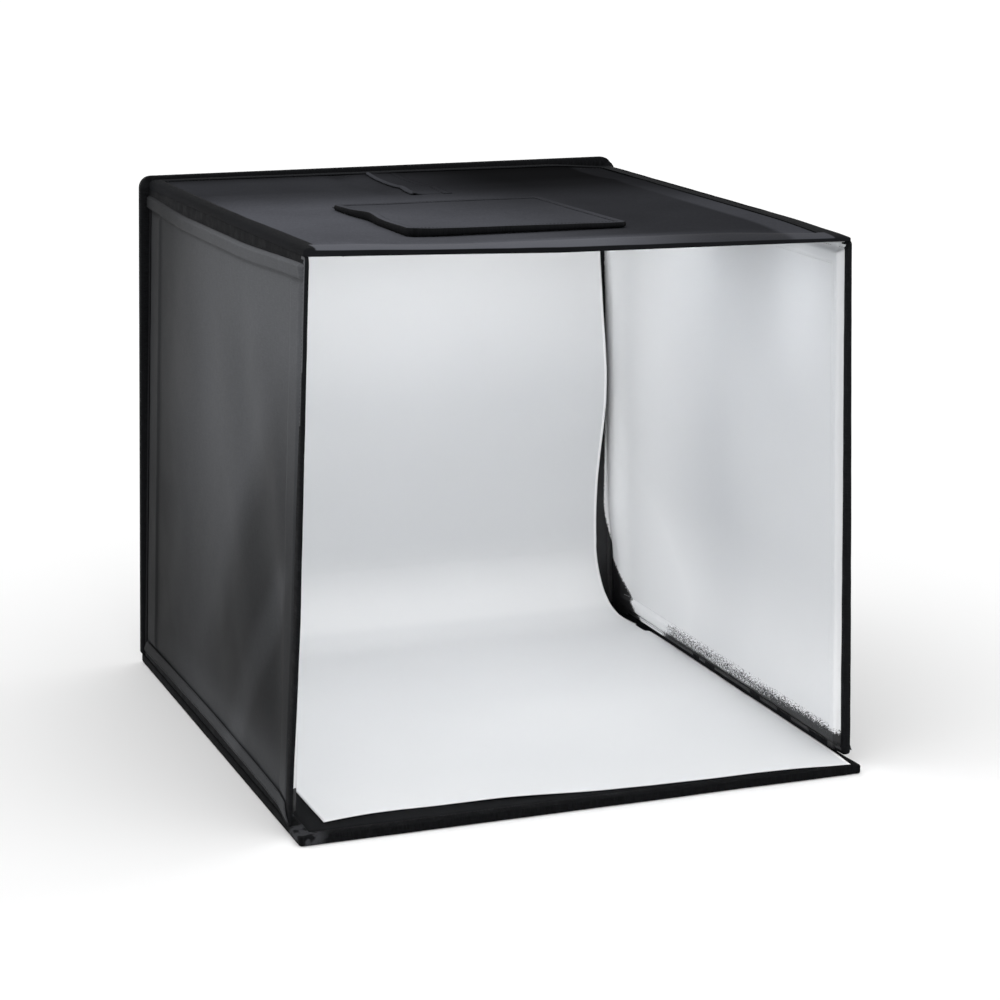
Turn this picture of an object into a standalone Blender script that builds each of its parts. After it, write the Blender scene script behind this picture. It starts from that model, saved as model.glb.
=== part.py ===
"""Folding light tent cube: cloth panels over boards and sprung wire frames, a hung backdrop,
a lidded shooting window in the top and two light bars under it. Metres, +Z up, front at -Y."""

import math

import bmesh
import bpy
from mathutils import Matrix, Vector

# Driving dimensions
tent_width = 0.600  # outside of the side walls, where they meet the top
foot_spread = 0.041  # how much wider the side walls stand on the base
tent_depth = 0.640  # front edge of the walls to the outer face of the back panel
tent_height = 0.600  # underside of the base to the face of the top
front_lip = 0.031  # how far the base runs out in front of the walls
clearance = 0.0003  # between pieces that touch

# Cloth, tape, board and wire
cloth = 0.0008
tape = 0.0009
hook_tape = 0.0010
board = 0.0054
wire_radius = 0.0020
arc_steps = 4
least_radius = 0.0012
smooth_angle = math.radians(35)
weld_distance = 0.00003

# Base and back panel, each a board between two cloths in one edge tape
binding_width = 0.014
base_corner = 0.010
back_top_corner = 0.014
back_foot_corner = 0.004
back_proud_side = 0.006  # back panel past the walls at the top
back_proud_top = 0.002
panel_thickness = 2 * tape + 2 * cloth + board + 4 * clearance

# Side walls
wall_tape_width = 0.009
wall_corner = 0.012
sleeve_start = 0.0098  # from the wall's edge to the foot of the wire sleeve
sleeve_rise = 0.0028
sleeve_crest = 0.0115
hem_height = 0.020
hem_mitre = 0.016
wall_strip_width = 0.009
strip_front_gap = 0.185  # behind the front edge of the wall
strip_rear_gap = 0.055  # in front of the rear edge of the wall

# Rim of the top, a folded cloth channel that carries the top's wire
rim_cloth = 0.0008
rim_leg = 0.025
rim_height = 0.014
rim_corner = 0.010
rim_channel = 0.0065
rim_inner_leg = 0.0065
shoulder_inset = (0.0070, 0.0030, 0.0009)
shoulder_drop = (0.0003, 0.0018, 0.0046)
shoulder_end = 0.0080
shoulder_offset_share = 0.8  # of the cloth, inward and down, from the shoulder's outer face
field_inset = 0.009  # edge of the top's cloth, inside the rim

# Shooting window and its flap
window_left = -0.136
window_right = 0.040
window_front_gap = 0.1145  # behind the front edge of the walls
window_depth = 0.164
window_corner = 0.008
window_frame_width = 0.026  # of the cloth ring sewn into the top round the window
flap_border = 0.032
flap_corner = 0.010
flap_tape_width = 0.010
flap_cloth = 0.0009
flap_tape = 0.0006
flap_hook_size = 0.024
flap_hinge_width = 0.016

# Cable slit and its flap
slit_left = -0.034
slit_right = -0.014
slit_front = 0.106
slit_rear_gap = 0.0355  # in front of the back panel
slit_corner = 0.004
cable_flap_border = 0.006
cable_flap_hinge_width = 0.010
cable_flap_cloth = 0.0016

# Fastening tabs inside the walls
tab_depth = 0.040
tab_front_gap = 0.185  # behind the front edge of the walls
tab_rear_gap = 0.0555  # in front of the back panel

# Light bars
light_side_gap = 0.070  # at each end, inside the outer face of the wall
light_width = 0.022
light_height = 0.0115
light_wall = 0.0015
light_ledge = 0.0015
light_front_gap = 0.0995  # behind the front edge of the walls
light_rear_gap = 0.032  # in front of the cable slit
cap_thickness = 0.0020
cap_plug = 0.0060  # how far a cap reaches into its channel
cap_rounding_steps = 3
led_board_width = 0.0160
led_board_thickness = 0.0012
led_size = 0.0035
led_height = 0.0010
led_count = 26
diffuser_thickness = 0.0012
fin_width = 0.0014
fin_height = 0.0012
fin_count = 5
pad_size = 0.022
pad_inset = 0.029  # from the end of the bar to the middle of its pad
band_width = 0.022
band_front_gap = 0.0145  # behind the front edge of the walls
band_rear_run = 0.030  # behind the middle of the rear bar
inlet_radius = 0.0042
inlet_bore = 0.0028
inlet_pin = 0.0010
inlet_length = 0.0100
inlet_floor = 0.0020
inlet_steps = 16

# Backdrop
backdrop_side_gap = 0.015  # at the top, inside the outer face of each wall
backdrop_top_gap = 0.024  # below the face of the top
backdrop_bend = 0.085
backdrop_bow = 0.024  # how far the hanging stretch swells forward
backdrop_front_gap = 0.001  # behind the front edge of the walls
backdrop_bend_steps = 10
backdrop_hang_steps = 9
backdrop_floor_steps = 6
backdrop_cross_steps = 4
backdrop_strip_width = 0.020
strip_side_gap = 0.020  # at the top, inside the outer face of each wall

# Places worked out from the sizes above
foot_width = tent_width + foot_spread
base_half = foot_width / 2 + cloth / 2
base_depth = tent_depth + front_lip
base_front = -base_depth / 2
base_rear = base_depth / 2
wall_front = base_front + front_lip
back_face = base_rear - panel_thickness
wall_rear = back_face - clearance
wall_foot = panel_thickness + clearance
rim_foot = tent_height - rim_height
wall_top = rim_foot - clearance
lean = math.atan((foot_width - tent_width) / 2 / (tent_height - panel_thickness))
floor_level = panel_thickness - tape - clearance
window_front = wall_front + window_front_gap
window_rear = window_front + window_depth
slit_rear = back_face - slit_rear_gap
tab_front = wall_front + tab_front_gap
tab_rear = back_face - tab_rear_gap
light_length = tent_width - 2 * light_side_gap
light_front_y = wall_front + light_front_gap
light_rear_y = slit_front - light_rear_gap
pad_x = light_length / 2 - pad_inset
band_front = wall_front + band_front_gap
band_rear = light_rear_y + band_rear_run
strip_length = tent_width - 2 * strip_side_gap
backdrop_width = tent_width - 2 * backdrop_side_gap
backdrop_foot_right = base_half - binding_width - 2 * clearance
backdrop_front = wall_front + backdrop_front_gap
backdrop_front_right = base_front + binding_width + 2 * clearance


def clear_scene():
    """An empty file, with one collection for the tent and one for its cutters."""
    for old in list(bpy.data.objects):
        bpy.data.objects.remove(old, do_unlink=True)
    parts = bpy.data.collections.new("light_tent_cube")
    cutters = bpy.data.collections.new("cutters")
    bpy.context.scene.collection.children.link(parts)
    bpy.context.scene.collection.children.link(cutters)
    return parts, cutters


parts, cutters = clear_scene()


def make_material(name, color, roughness, metallic=0.0):
    made = bpy.data.materials.new(name)
    made.use_nodes = True
    shader = made.node_tree.nodes["Principled BSDF"]
    shader.inputs["Base Color"].default_value = (*color, 1.0)
    shader.inputs["Roughness"].default_value = roughness
    shader.inputs["Metallic"].default_value = metallic
    made.diffuse_color = (*color, 1.0)
    return made


def make_frame(name, origin, u, v, w, parent=None):
    """An empty whose own X, Y and Z point along u, v and w: a panel lies in its X and Y."""
    empty = bpy.data.objects.new(name, None)
    parts.objects.link(empty)
    turn = Matrix((u, v, w)).transposed().to_4x4()
    empty.matrix_world = Matrix.Translation(origin) @ turn
    if parent:
        empty.parent = parent
        empty.matrix_parent_inverse = parent.matrix_world.inverted()
    bpy.context.view_layer.update()
    return empty


def add_object(name, mesh_or_curve, frame, material, place=parts):
    made = bpy.data.objects.new(name, mesh_or_curve)
    place.objects.link(made)
    made.parent = frame
    if material:
        made.data.materials.append(material)
    return made


def finish_mesh(name, shape, frame, material, place=parts):
    """Turns a bmesh into an object, with its faces pointing out and its round stretches smooth."""
    bmesh.ops.recalc_face_normals(shape, faces=shape.faces[:])
    mesh = bpy.data.meshes.new(name)
    shape.to_mesh(mesh)
    shape.free()
    mesh.shade_smooth()
    mesh.set_sharp_from_angle(angle=smooth_angle)
    return add_object(name, mesh, frame, material, place)


def outline(corners, inset, steps=arc_steps):
    """A convex outline moved in by inset. Each corner is (x, y, radius), and becomes an arc."""
    found = []
    count = len(corners)
    points = [Vector(corner[:2]) for corner in corners]
    for i in range(count):
        before = (points[i] - points[i - 1]).normalized()
        after = (points[(i + 1) % count] - points[i]).normalized()
        inward = Vector((-before.y, before.x))
        turn = math.atan2(before.cross(after), before.dot(after))
        tip = points[i] + inward * inset - before * inset * math.tan(turn / 2)
        radius = max(corners[i][2] - inset, least_radius)
        start = tip - before * radius * math.tan(turn / 2)
        centre = start + inward * radius
        for step in range(steps + 1):
            spun = Matrix.Rotation(turn * step / steps, 2) @ (start - centre)
            found.append(centre + spun)
    return found


def run_round(name, corners, profile, frame, material, ring, place=parts):
    """Runs a profile of (inset, height) round an outline: a ring, or a plate with closed faces."""
    shape = bmesh.new()
    loops = []
    for inset, height in profile:
        points = outline(corners, inset)
        loops.append([shape.verts.new((p.x, p.y, height)) for p in points])
    pairs = list(zip(loops, loops[1:] + loops[:1])) if ring else list(zip(loops, loops[1:]))
    for here, there in pairs:
        for i in range(len(here)):
            j = (i + 1) % len(here)
            shape.faces.new((here[i], here[j], there[j], there[i]))
    if not ring:
        shape.faces.new(loops[0])
        shape.faces.new(loops[-1])
    return finish_mesh(name, shape, frame, material, place)


def plate(name, corners, inset, low, high, frame, material, place=parts):
    return run_round(name, corners, [(inset, high), (inset, low)], frame, material, False, place)


def folded_tape(name, corners, width, thickness, low, high, frame, material):
    """Edge tape folded round a panel's edge, from low to high over all."""
    profile = [
        (width, high), (0, high), (0, low), (width, low),
        (width, low + thickness), (thickness, low + thickness),
        (thickness, high - thickness), (width, high - thickness),
    ]
    return run_round(name, corners, profile, frame, material, True)


def rectangle(left, front, right, rear, radius):
    return [(left, front, radius), (right, front, radius),
            (right, rear, radius), (left, rear, radius)]


def block(name, low, high, frame, material, place=parts):
    """A box between two corners."""
    shape = bmesh.new()
    add_block(shape, low, high)
    return finish_mesh(name, shape, frame, material, place)


def add_block(shape, low, high):
    size = [b - a for a, b in zip(low, high)]
    middle = [(a + b) / 2 for a, b in zip(low, high)]
    place = Matrix.Translation(middle) @ Matrix.Diagonal((*size, 1.0))
    bmesh.ops.create_cube(shape, size=1.0, matrix=place)


def extrusion(name, section, left, right, frame, material):
    """A section of (y, z) points run along X from left to right."""
    shape = bmesh.new()
    face = shape.faces.new([shape.verts.new((left, y, z)) for y, z in section])
    moved = bmesh.ops.extrude_face_region(shape, geom=[face])["geom"]
    verts = [item for item in moved if isinstance(item, bmesh.types.BMVert)]
    bmesh.ops.translate(shape, verts=verts, vec=(right - left, 0, 0))
    return finish_mesh(name, shape, frame, material)


def wire_loop(name, corners, inset, height, frame, material):
    """A closed hoop of round spring wire that follows an outline."""
    curve = bpy.data.curves.new(name, "CURVE")
    curve.dimensions = "3D"
    curve.bevel_depth = wire_radius
    curve.bevel_resolution = 2
    points = outline(corners, inset)
    spline = curve.splines.new("POLY")
    spline.points.add(len(points) - 1)
    for point, place in zip(spline.points, points):
        point.co = (place.x, place.y, height, 1.0)
    spline.use_cyclic_u = True
    return add_object(name, curve, frame, material)


def combine(target, other, operation):
    """Takes the other shape out of the target, or joins it on, and hides the other."""
    other.hide_render = True
    other.display_type = "WIRE"
    change = target.modifiers.new(other.name, "BOOLEAN")
    change.operation = operation
    change.solver = "EXACT"
    change.object = other


def board_panel(prefix, inner, corners, frame, paint):
    """A board between an outer cloth at height 0 and an inner one, in one folded edge tape."""
    inset = tape + clearance
    low = inset
    plate(prefix + "_cover", corners, inset, low, low + cloth, frame, paint["black cloth"])
    low += cloth + clearance
    plate(prefix + "_board", corners, inset, low, low + board, frame, paint["board"])
    low += board + clearance
    plate(inner[0], corners, inset, low, low + cloth, frame, paint[inner[1]])
    folded_tape(prefix + "_binding", corners, binding_width, tape, 0, panel_thickness,
                frame, paint["black tape"])


def make_base(paint):
    frame = make_frame("base_frame", (0, 0, 0), (1, 0, 0), (0, 1, 0), (0, 0, 1))
    corners = rectangle(-base_half, base_front, base_half, base_rear, base_corner)
    board_panel("base", ("base_floor_cloth", "black cloth"), corners, frame, paint)
    return frame


def make_back(paint):
    """The back panel stands on the base's rear edge and turns about its outer foot."""
    origin = (0, base_rear, wall_foot)
    # Heights run from the outer face forward, so w points to the front
    frame = make_frame("back_frame", origin, (1, 0, 0), (0, 0, 1), (0, -1, 0))
    top_half = tent_width / 2 + back_proud_side
    height = tent_height + back_proud_top - wall_foot
    corners = [(-base_half, 0, back_foot_corner), (base_half, 0, back_foot_corner),
               (top_half, height, back_top_corner), (-top_half, height, back_top_corner)]
    board_panel("back", ("back_lining", "silver cloth"), corners, frame, paint)
    lining_face = panel_thickness - tape - clearance
    strip_top = tent_height - backdrop_top_gap - wall_foot
    low = lining_face + clearance
    block("backdrop_hook_strip", (-strip_length / 2, strip_top - backdrop_strip_width, low),
          (strip_length / 2, strip_top, low + hook_tape), frame, paint["hook tape"])
    return frame


def sleeve_profile(near, far):
    """Half of a wall's lining: flat at near, raised to far over the wire sleeve, then flat again."""
    crest = sleeve_start + sleeve_rise
    return [(tape + clearance, near), (sleeve_start, near), (crest, far),
            (crest + sleeve_crest, far), (crest + sleeve_crest + sleeve_rise, near)]


def make_wall(side, sign, paint):
    """A side wall: wire hoop between outer cloth and silver lining, in folded edge tape."""
    outward = Vector((sign * math.cos(lean), 0, math.sin(lean)))
    up = Vector((-sign * math.sin(lean), 0, math.cos(lean)))
    along = Vector((0, sign, 0))
    frame = make_frame(side + "_wall_frame", (sign * foot_width / 2, 0, wall_foot),
                       along, up, outward)
    ends = sorted((sign * wall_front, sign * wall_rear))
    height = (wall_top - wall_foot) / math.cos(lean)
    corners = rectangle(ends[0], 0, ends[1], height, wall_corner)
    # The hem lies outermost, at height 0, and everything else is stacked inward from it
    hem_low = -cloth
    edge_high = hem_low - clearance
    skin_high = edge_high - tape - clearance
    skin_low = skin_high - cloth
    lining_high = skin_low - clearance
    lining_low = lining_high - cloth
    edge_low = lining_low - clearance - tape
    sleeve = 2 * wire_radius + clearance
    plate(side + "_wall_skin", corners, tape + clearance, skin_low, skin_high,
          frame, paint["black cloth"])
    folded_tape(side + "_wall_binding", corners, wall_tape_width, tape, edge_low, edge_high,
                frame, paint["black tape"])
    outer = sleeve_profile(lining_high, lining_high - sleeve)
    inner = sleeve_profile(lining_low, lining_low - sleeve)
    run_round(side + "_wall_lining", corners, outer[::-1] + inner, frame,
              paint["silver cloth"], False)
    wire_inset = sleeve_start + sleeve_rise + wire_radius + clearance
    wire_loop(side + "_wall_wire", corners, wire_inset, lining_high - wire_radius,
              frame, paint["spring steel"])
    hem = [(ends[0], 0, least_radius), (ends[1], 0, least_radius),
           (ends[1] - hem_mitre, hem_height, least_radius),
           (ends[0] + hem_mitre, hem_height, least_radius)]
    plate(side + "_wall_hem", hem, 0, hem_low, 0, frame, paint["black cloth"])
    strip_high = lining_low - sleeve - clearance
    strip_top = height - sleeve_start - sleeve_rise - (sleeve_crest - wall_strip_width) / 2
    reach = sorted((sign * (wall_front + strip_front_gap), sign * (wall_rear - strip_rear_gap)))
    strip = rectangle(reach[0], strip_top - wall_strip_width, reach[1], strip_top, least_radius)
    plate(side + "_wall_loop_strip", strip, 0, strip_high - hook_tape, strip_high,
          frame, paint["hook tape"])
    # How far inside its own outer face the wall reaches with its loop strip
    return hook_tape - strip_high, strip_top


def rim_profile():
    """The rim's folded cloth: a leg on top, a rounded shoulder, a drop and an upturned channel."""
    drop = rim_height
    outer = [(rim_leg, 0)]
    outer += [(inset, -fall) for inset, fall in zip(shoulder_inset, shoulder_drop)]
    outer += [(0, -shoulder_end), (0, rim_cloth - drop), (rim_cloth, -drop)]
    outer += [(rim_channel + rim_cloth, -drop), (rim_channel + rim_cloth, rim_inner_leg - drop)]
    inner = [(rim_channel, rim_inner_leg - drop), (rim_channel, rim_cloth - drop),
             (2 * rim_cloth, rim_cloth - drop), (rim_cloth, 2 * rim_cloth - drop),
             (rim_cloth, -shoulder_end)]
    offset = rim_cloth * shoulder_offset_share
    inner += [(inset + offset, -fall - offset)
              for inset, fall in zip(shoulder_inset[::-1], shoulder_drop[::-1])]
    inner += [(rim_leg, -rim_cloth)]
    return outer + inner


def make_top(paint, back):
    """The top turns up about its own rear edge, and carries the window, the slit and the lights."""
    frame = make_frame("top_frame", (0, back_face, tent_height), (1, 0, 0), (0, 1, 0),
                       (0, 0, 1), back)
    half = tent_width / 2
    front = wall_front - back_face
    rear = -clearance
    corners = rectangle(-half, front, half, rear, rim_corner)
    run_round("top_rim", corners, rim_profile(), frame, paint["black tape"], True)
    wire_inset = (rim_cloth + rim_channel) / 2
    wire_loop("top_wire", corners, wire_inset,
              rim_cloth - rim_height + clearance + wire_radius, frame, paint["spring steel"])
    skin_high = -rim_cloth - clearance - shoulder_drop[0] / 2
    skin_low = skin_high - cloth
    lining_high = skin_low - clearance
    lining_low = lining_high - cloth
    skin = plate("top_skin", corners, field_inset, skin_low, skin_high, frame,
                 paint["black cloth"])
    lining = plate("top_lining", corners, field_inset, lining_low, lining_high, frame,
                   paint["silver cloth"])
    window = rectangle(window_left, window_front - back_face, window_right,
                       window_rear - back_face, window_corner)
    slit = rectangle(slit_left, slit_front - back_face, slit_right, slit_rear - back_face,
                     slit_corner)
    run_round("window_frame", window, [(-window_frame_width, skin_high), (0, skin_high),
                                       (0, skin_low), (-window_frame_width, skin_low)],
              frame, paint["black cloth"], True)
    for cloth_plate, hole, edge in ((skin, window, -window_frame_width - clearance),
                                    (lining, window, 0), (skin, slit, 0), (lining, slit, 0)):
        cutter = plate(cloth_plate.name + "_cutter", hole, edge, lining_low - cloth,
                       skin_high + cloth, frame, None, cutters)
        combine(cloth_plate, cutter, "DIFFERENCE")
    return frame, skin_high, lining_low


def make_window_flap(paint, top, skin_high):
    """A padded cloth lid over the window, taped round and hinged along its rear edge."""
    patch_high = skin_high + clearance + hook_tape
    hook_low = patch_high + clearance
    hook_high = hook_low + hook_tape
    edge_low = hook_low + hook_tape - flap_tape
    lining_low = hook_high + clearance
    cover_low = lining_low + cloth + clearance
    cover_high = cover_low + flap_cloth
    edge_high = cover_high + clearance + flap_tape
    rear = window_rear + flap_border
    frame = make_frame("window_flap_frame", (0, rear, tent_height + edge_high),
                       (1, 0, 0), (0, 1, 0), (0, 0, 1), top)
    corners = rectangle(window_left - flap_border, window_front - flap_border - rear,
                        window_right + flap_border, 0, flap_corner)
    shift = edge_high
    inset = flap_tape + clearance
    plate("window_flap_cover", corners, inset, cover_low - shift, cover_high - shift, frame,
          paint["black cloth"])
    plate("window_flap_lining", corners, inset, lining_low - shift, lining_low + cloth - shift,
          frame, paint["silver cloth"])
    folded_tape("window_flap_binding", corners, flap_tape_width, flap_tape,
                edge_low - shift, 0, frame, paint["black tape"])
    near = flap_tape_width + clearance
    for side, x in (("left", window_left - flap_border + near),
                    ("right", window_right + flap_border - near - flap_hook_size)):
        low_y = window_front - flap_border + near
        mount = (x, low_y - rear, hook_low - shift)
        far = (x + flap_hook_size, low_y + (flap_border - near) - rear - clearance,
               hook_high - shift)
        block("window_flap_" + side + "_hook", mount, far, frame, paint["hook tape"])
        patch = (x, low_y - back_face, skin_high + clearance)
        end = (x + flap_hook_size, low_y + (flap_border - near) - clearance - back_face,
               patch_high)
        block("window_" + side + "_loop", patch, end, top, paint["hook tape"])
    behind = rear - back_face + clearance
    block("window_flap_hinge_tape",
          (window_left - flap_border, behind, skin_high + clearance),
          (window_right + flap_border, behind + flap_hinge_width, skin_high + clearance + cloth),
          top, paint["black tape"])


def make_cable_flap(paint, top, skin_high):
    """A narrow placket over the cable slit, open along its left edge."""
    low = skin_high + clearance
    high = low + cable_flap_cloth
    hinge_x = slit_right + cable_flap_border
    frame = make_frame("cable_flap_frame", (hinge_x, 0, tent_height + high),
                       (1, 0, 0), (0, 1, 0), (0, 0, 1), top)
    corners = rectangle(slit_left - cable_flap_border - hinge_x, slit_front - cable_flap_border,
                        0, slit_rear + cable_flap_border, slit_corner)
    plate("cable_flap", corners, 0, low - high, 0, frame, paint["black cloth"])
    block("cable_flap_hinge_tape",
          (hinge_x + clearance, slit_front - cable_flap_border - back_face, low),
          (hinge_x + clearance + cable_flap_hinge_width, slit_rear + cable_flap_border - back_face,
           low + cloth), top, paint["black tape"])


def make_tabs(paint, top, lining_low, wall_reach, strip_top):
    """Cloth tabs that hang from the top inside each wall, with hook tape against the wall's."""
    strip_level = wall_foot + strip_top * math.cos(lean)
    wall_face = foot_width / 2 - strip_top * math.sin(lean) - wall_reach / math.cos(lean)
    hook_out = wall_face - 2 * clearance
    tab_out = hook_out - hook_tape - clearance
    high = lining_low - clearance
    for side, sign in (("left", -1), ("right", 1)):
        across = sorted((sign * tab_out, sign * (tab_out - cloth)))
        block(side + "_fastening_tab",
              (across[0], tab_front - back_face, lining_low - tab_depth),
              (across[1], tab_rear - back_face, high), top, paint["black cloth"])
        across = sorted((sign * hook_out, sign * (hook_out - hook_tape)))
        hook_high = strip_level - tent_height
        block(side + "_tab_hook_strip",
              (across[0], tab_front - back_face, hook_high - wall_strip_width),
              (across[1], tab_rear - back_face, hook_high), top, paint["hook tape"])


def channel_section():
    """Half-open aluminium channel: a ribbed roof, two walls and a ledge in each for the diffuser."""
    half = light_width / 2
    foot = -light_height
    ledge = ledge_top() - light_wall
    points = [(-half, 0)]
    pitch = light_width / fin_count
    for i in range(fin_count):
        start = -half + pitch * (i + 0.5) - fin_width / 2
        points += [(start, 0), (start, -fin_height), (start + fin_width, -fin_height),
                   (start + fin_width, 0)]
    points += [(half, 0), (half, foot), (half - light_wall - light_ledge, foot),
               (half - light_wall - light_ledge, foot + light_wall),
               (half - light_wall, foot + light_wall), (half - light_wall, ledge),
               (half - light_wall - light_ledge, ledge),
               (half - light_wall - light_ledge, ledge_top()),
               (half - light_wall, ledge_top()), (half - light_wall, -roof_drop())]
    mirrored = [(-y, z) for y, z in points[-9:][::-1]]
    return points + mirrored


def roof_drop():
    return fin_height + light_wall


def ledge_top():
    return 2 * light_wall + diffuser_thickness + 2 * clearance - light_height


def make_light(place, y, paint, top, lining_low):
    """One light bar: channel, board with its row of diodes, diffuser, two caps, inlet and pads."""
    band_low = lining_low - clearance - hook_tape
    pad_high = band_low - clearance
    roof = pad_high - hook_tape - clearance
    frame = make_frame(place + "_light_frame", (0, y, tent_height + roof),
                       (1, 0, 0), (0, 1, 0), (0, 0, 1), top)
    half = light_length / 2
    name = place + "_light_"
    extrusion(name + "channel", channel_section(), -half, half, frame, paint["aluminium"])
    board_high = -roof_drop() - clearance
    board_low = board_high - led_board_thickness
    end = half - cap_plug - clearance
    board_strip = block(name + "board", (-end, -led_board_width / 2, board_low),
                        (end, led_board_width / 2, board_high), frame, paint["circuit board"])
    shape = bmesh.new()
    pitch = 2 * end / led_count
    for i in range(led_count):
        x = pitch * (i + 0.5) - end
        add_block(shape, (x - led_size / 2, -led_size / 2, board_low - led_height),
                  (x + led_size / 2, led_size / 2, board_low + led_board_thickness / 2))
    diodes = finish_mesh(name + "diodes", shape, frame, paint["diode"], cutters)
    combine(board_strip, diodes, "UNION")
    inside = light_width / 2 - light_wall - clearance
    cover_low = -light_height + light_wall + clearance
    block(name + "diffuser", (-half, -inside, cover_low),
          (half, inside, cover_low + diffuser_thickness), frame, paint["diffuser"])
    for side, sign in (("left", -1), ("right", 1)):
        make_cap(name + side + "_cap", sign, half, frame, paint["black plastic"])
    turned_inlet(name + "inlet", half + 2 * clearance + cap_thickness, frame, paint)
    for side, x in (("left", -pad_x), ("right", pad_x)):
        block(name + side + "_pad", (x - pad_size / 2, -pad_size / 2, clearance),
              (x + pad_size / 2, pad_size / 2, clearance + hook_tape), frame, paint["hook tape"])


def make_cap(name, sign, half, frame, material):
    """A rounded end plate with a plug that fills the channel between its roof and its ledges."""
    across = sorted((sign * (half + clearance), sign * (half + clearance + cap_thickness)))
    shape = bmesh.new()
    add_block(shape, (across[0], -light_width / 2, -light_height),
              (across[1], light_width / 2, 0))
    edges = [edge for edge in shape.edges
             if abs(edge.verts[0].co.x - edge.verts[1].co.x) > cap_thickness / 2]
    bmesh.ops.bevel(shape, geom=edges, offset=light_wall, segments=cap_rounding_steps,
                    profile=0.5, affect="EDGES")
    cap = finish_mesh(name, shape, frame, material)
    reach = sorted((sign * (half - cap_plug), sign * (half + clearance + cap_thickness / 2)))
    side = light_width / 2 - light_wall - clearance
    plug = block(name + "_plug", (reach[0], -side, ledge_top() + clearance),
                 (reach[1], side, -roof_drop() - clearance), frame, material, cutters)
    combine(cap, plug, "UNION")


def turned_inlet(name, start, frame, paint):
    """The bar's power inlet: a barrel round a centre pin, turned about the bar's length."""
    profile = [(0, 0), (inlet_radius, 0), (inlet_radius, inlet_length),
               (inlet_bore, inlet_length), (inlet_bore, inlet_floor), (inlet_pin, inlet_floor),
               (inlet_pin, inlet_length - inlet_floor), (0, inlet_length - inlet_floor)]
    shape = bmesh.new()
    verts = [shape.verts.new((start + x, 0, r - light_height / 2)) for r, x in profile]
    edges = [shape.edges.new(pair) for pair in zip(verts, verts[1:])]
    bmesh.ops.spin(shape, geom=verts + edges, cent=(0, 0, -light_height / 2), axis=(1, 0, 0),
                   angle=2 * math.pi, steps=inlet_steps, use_merge=True)
    bmesh.ops.remove_doubles(shape, verts=shape.verts[:], dist=weld_distance)
    finish_mesh(name, shape, frame, paint["black plastic"])


def make_bands(paint, top, lining_low):
    """Loop bands under the top, on which the light bars are placed."""
    high = lining_low - clearance
    for side, x in (("left", -pad_x), ("right", pad_x)):
        block(side + "_light_band",
              (x - band_width / 2, band_front - back_face, high - hook_tape),
              (x + band_width / 2, band_rear - back_face, high), top, paint["hook tape"])


def backdrop_path(front, top, back, floor):
    """Side view of the backdrop, from its top edge down, round the bend and out to the front."""
    bend_top = floor + backdrop_bend
    bend_front = back - backdrop_bend
    path = []
    for i in range(backdrop_hang_steps):
        share = i / backdrop_hang_steps
        bow = backdrop_bow * math.sin(math.pi * share) ** 2
        path.append((back - bow, top + (bend_top - top) * share))
    for i in range(backdrop_bend_steps + 1):
        turn = i / backdrop_bend_steps * math.pi / 2
        path.append((bend_front + backdrop_bend * math.cos(turn),
                     bend_top - backdrop_bend * math.sin(turn)))
    for i in range(1, backdrop_floor_steps + 1):
        path.append((bend_front + (front - bend_front) * i / backdrop_floor_steps, floor))
    return path


def make_backdrop(paint, base):
    """One sheet that hangs on the back panel, bends and runs out wider over the floor."""
    lining_face = back_face + tape + clearance
    strip_rear = lining_face - 2 * clearance - hook_tape
    strip_front = strip_rear - hook_tape
    sheet_rear = strip_front - clearance
    top = tent_height - backdrop_top_gap
    floor = floor_level + clearance
    left = -backdrop_width / 2
    shape = bmesh.new()
    path = backdrop_path(backdrop_front, top, sheet_rear, floor)
    row = [shape.verts.new((left, y, z)) for y, z in path]
    edges = [shape.edges.new(pair) for pair in zip(row, row[1:])]
    for step in range(backdrop_cross_steps):
        made = bmesh.ops.extrude_edge_only(shape, edges=edges)["geom"]
        verts = [item for item in made if isinstance(item, bmesh.types.BMVert)]
        edges = [item for item in made if isinstance(item, bmesh.types.BMEdge)]
        bmesh.ops.translate(shape, verts=verts, vec=(backdrop_width / backdrop_cross_steps, 0, 0))
    # The right side leans out below the bend, and its front corner lies further forward
    bend_front = sheet_rear - backdrop_bend
    for vert in shape.verts:
        across = (vert.co.x - left) / backdrop_width
        fallen = min(max((floor + backdrop_bend - vert.co.z) / backdrop_bend, 0), 1)
        laid = min(max((bend_front - vert.co.y) / (bend_front - backdrop_front), 0), 1)
        vert.co.x += (backdrop_foot_right - backdrop_width / 2) * across * fallen
        vert.co.y += (backdrop_front_right - backdrop_front) * across * laid
    bmesh.ops.recalc_face_normals(shape, faces=shape.faces[:])
    if shape.faces[0].normal.y < 0:
        bmesh.ops.reverse_faces(shape, faces=shape.faces[:])
    mesh = bpy.data.meshes.new("backdrop_sheet")
    shape.to_mesh(mesh)
    shape.free()
    mesh.shade_smooth()
    sheet = add_object("backdrop_sheet", mesh, base, paint["white sheet"])
    wall = sheet.modifiers.new("thickness", "SOLIDIFY")
    wall.thickness = cloth
    wall.offset = -1.0
    wall.use_even_offset = True
    block("backdrop_loop_strip",
          (-strip_length / 2, strip_front, top - backdrop_strip_width),
          (strip_length / 2, strip_rear, top), base, paint["hook tape"])


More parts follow.
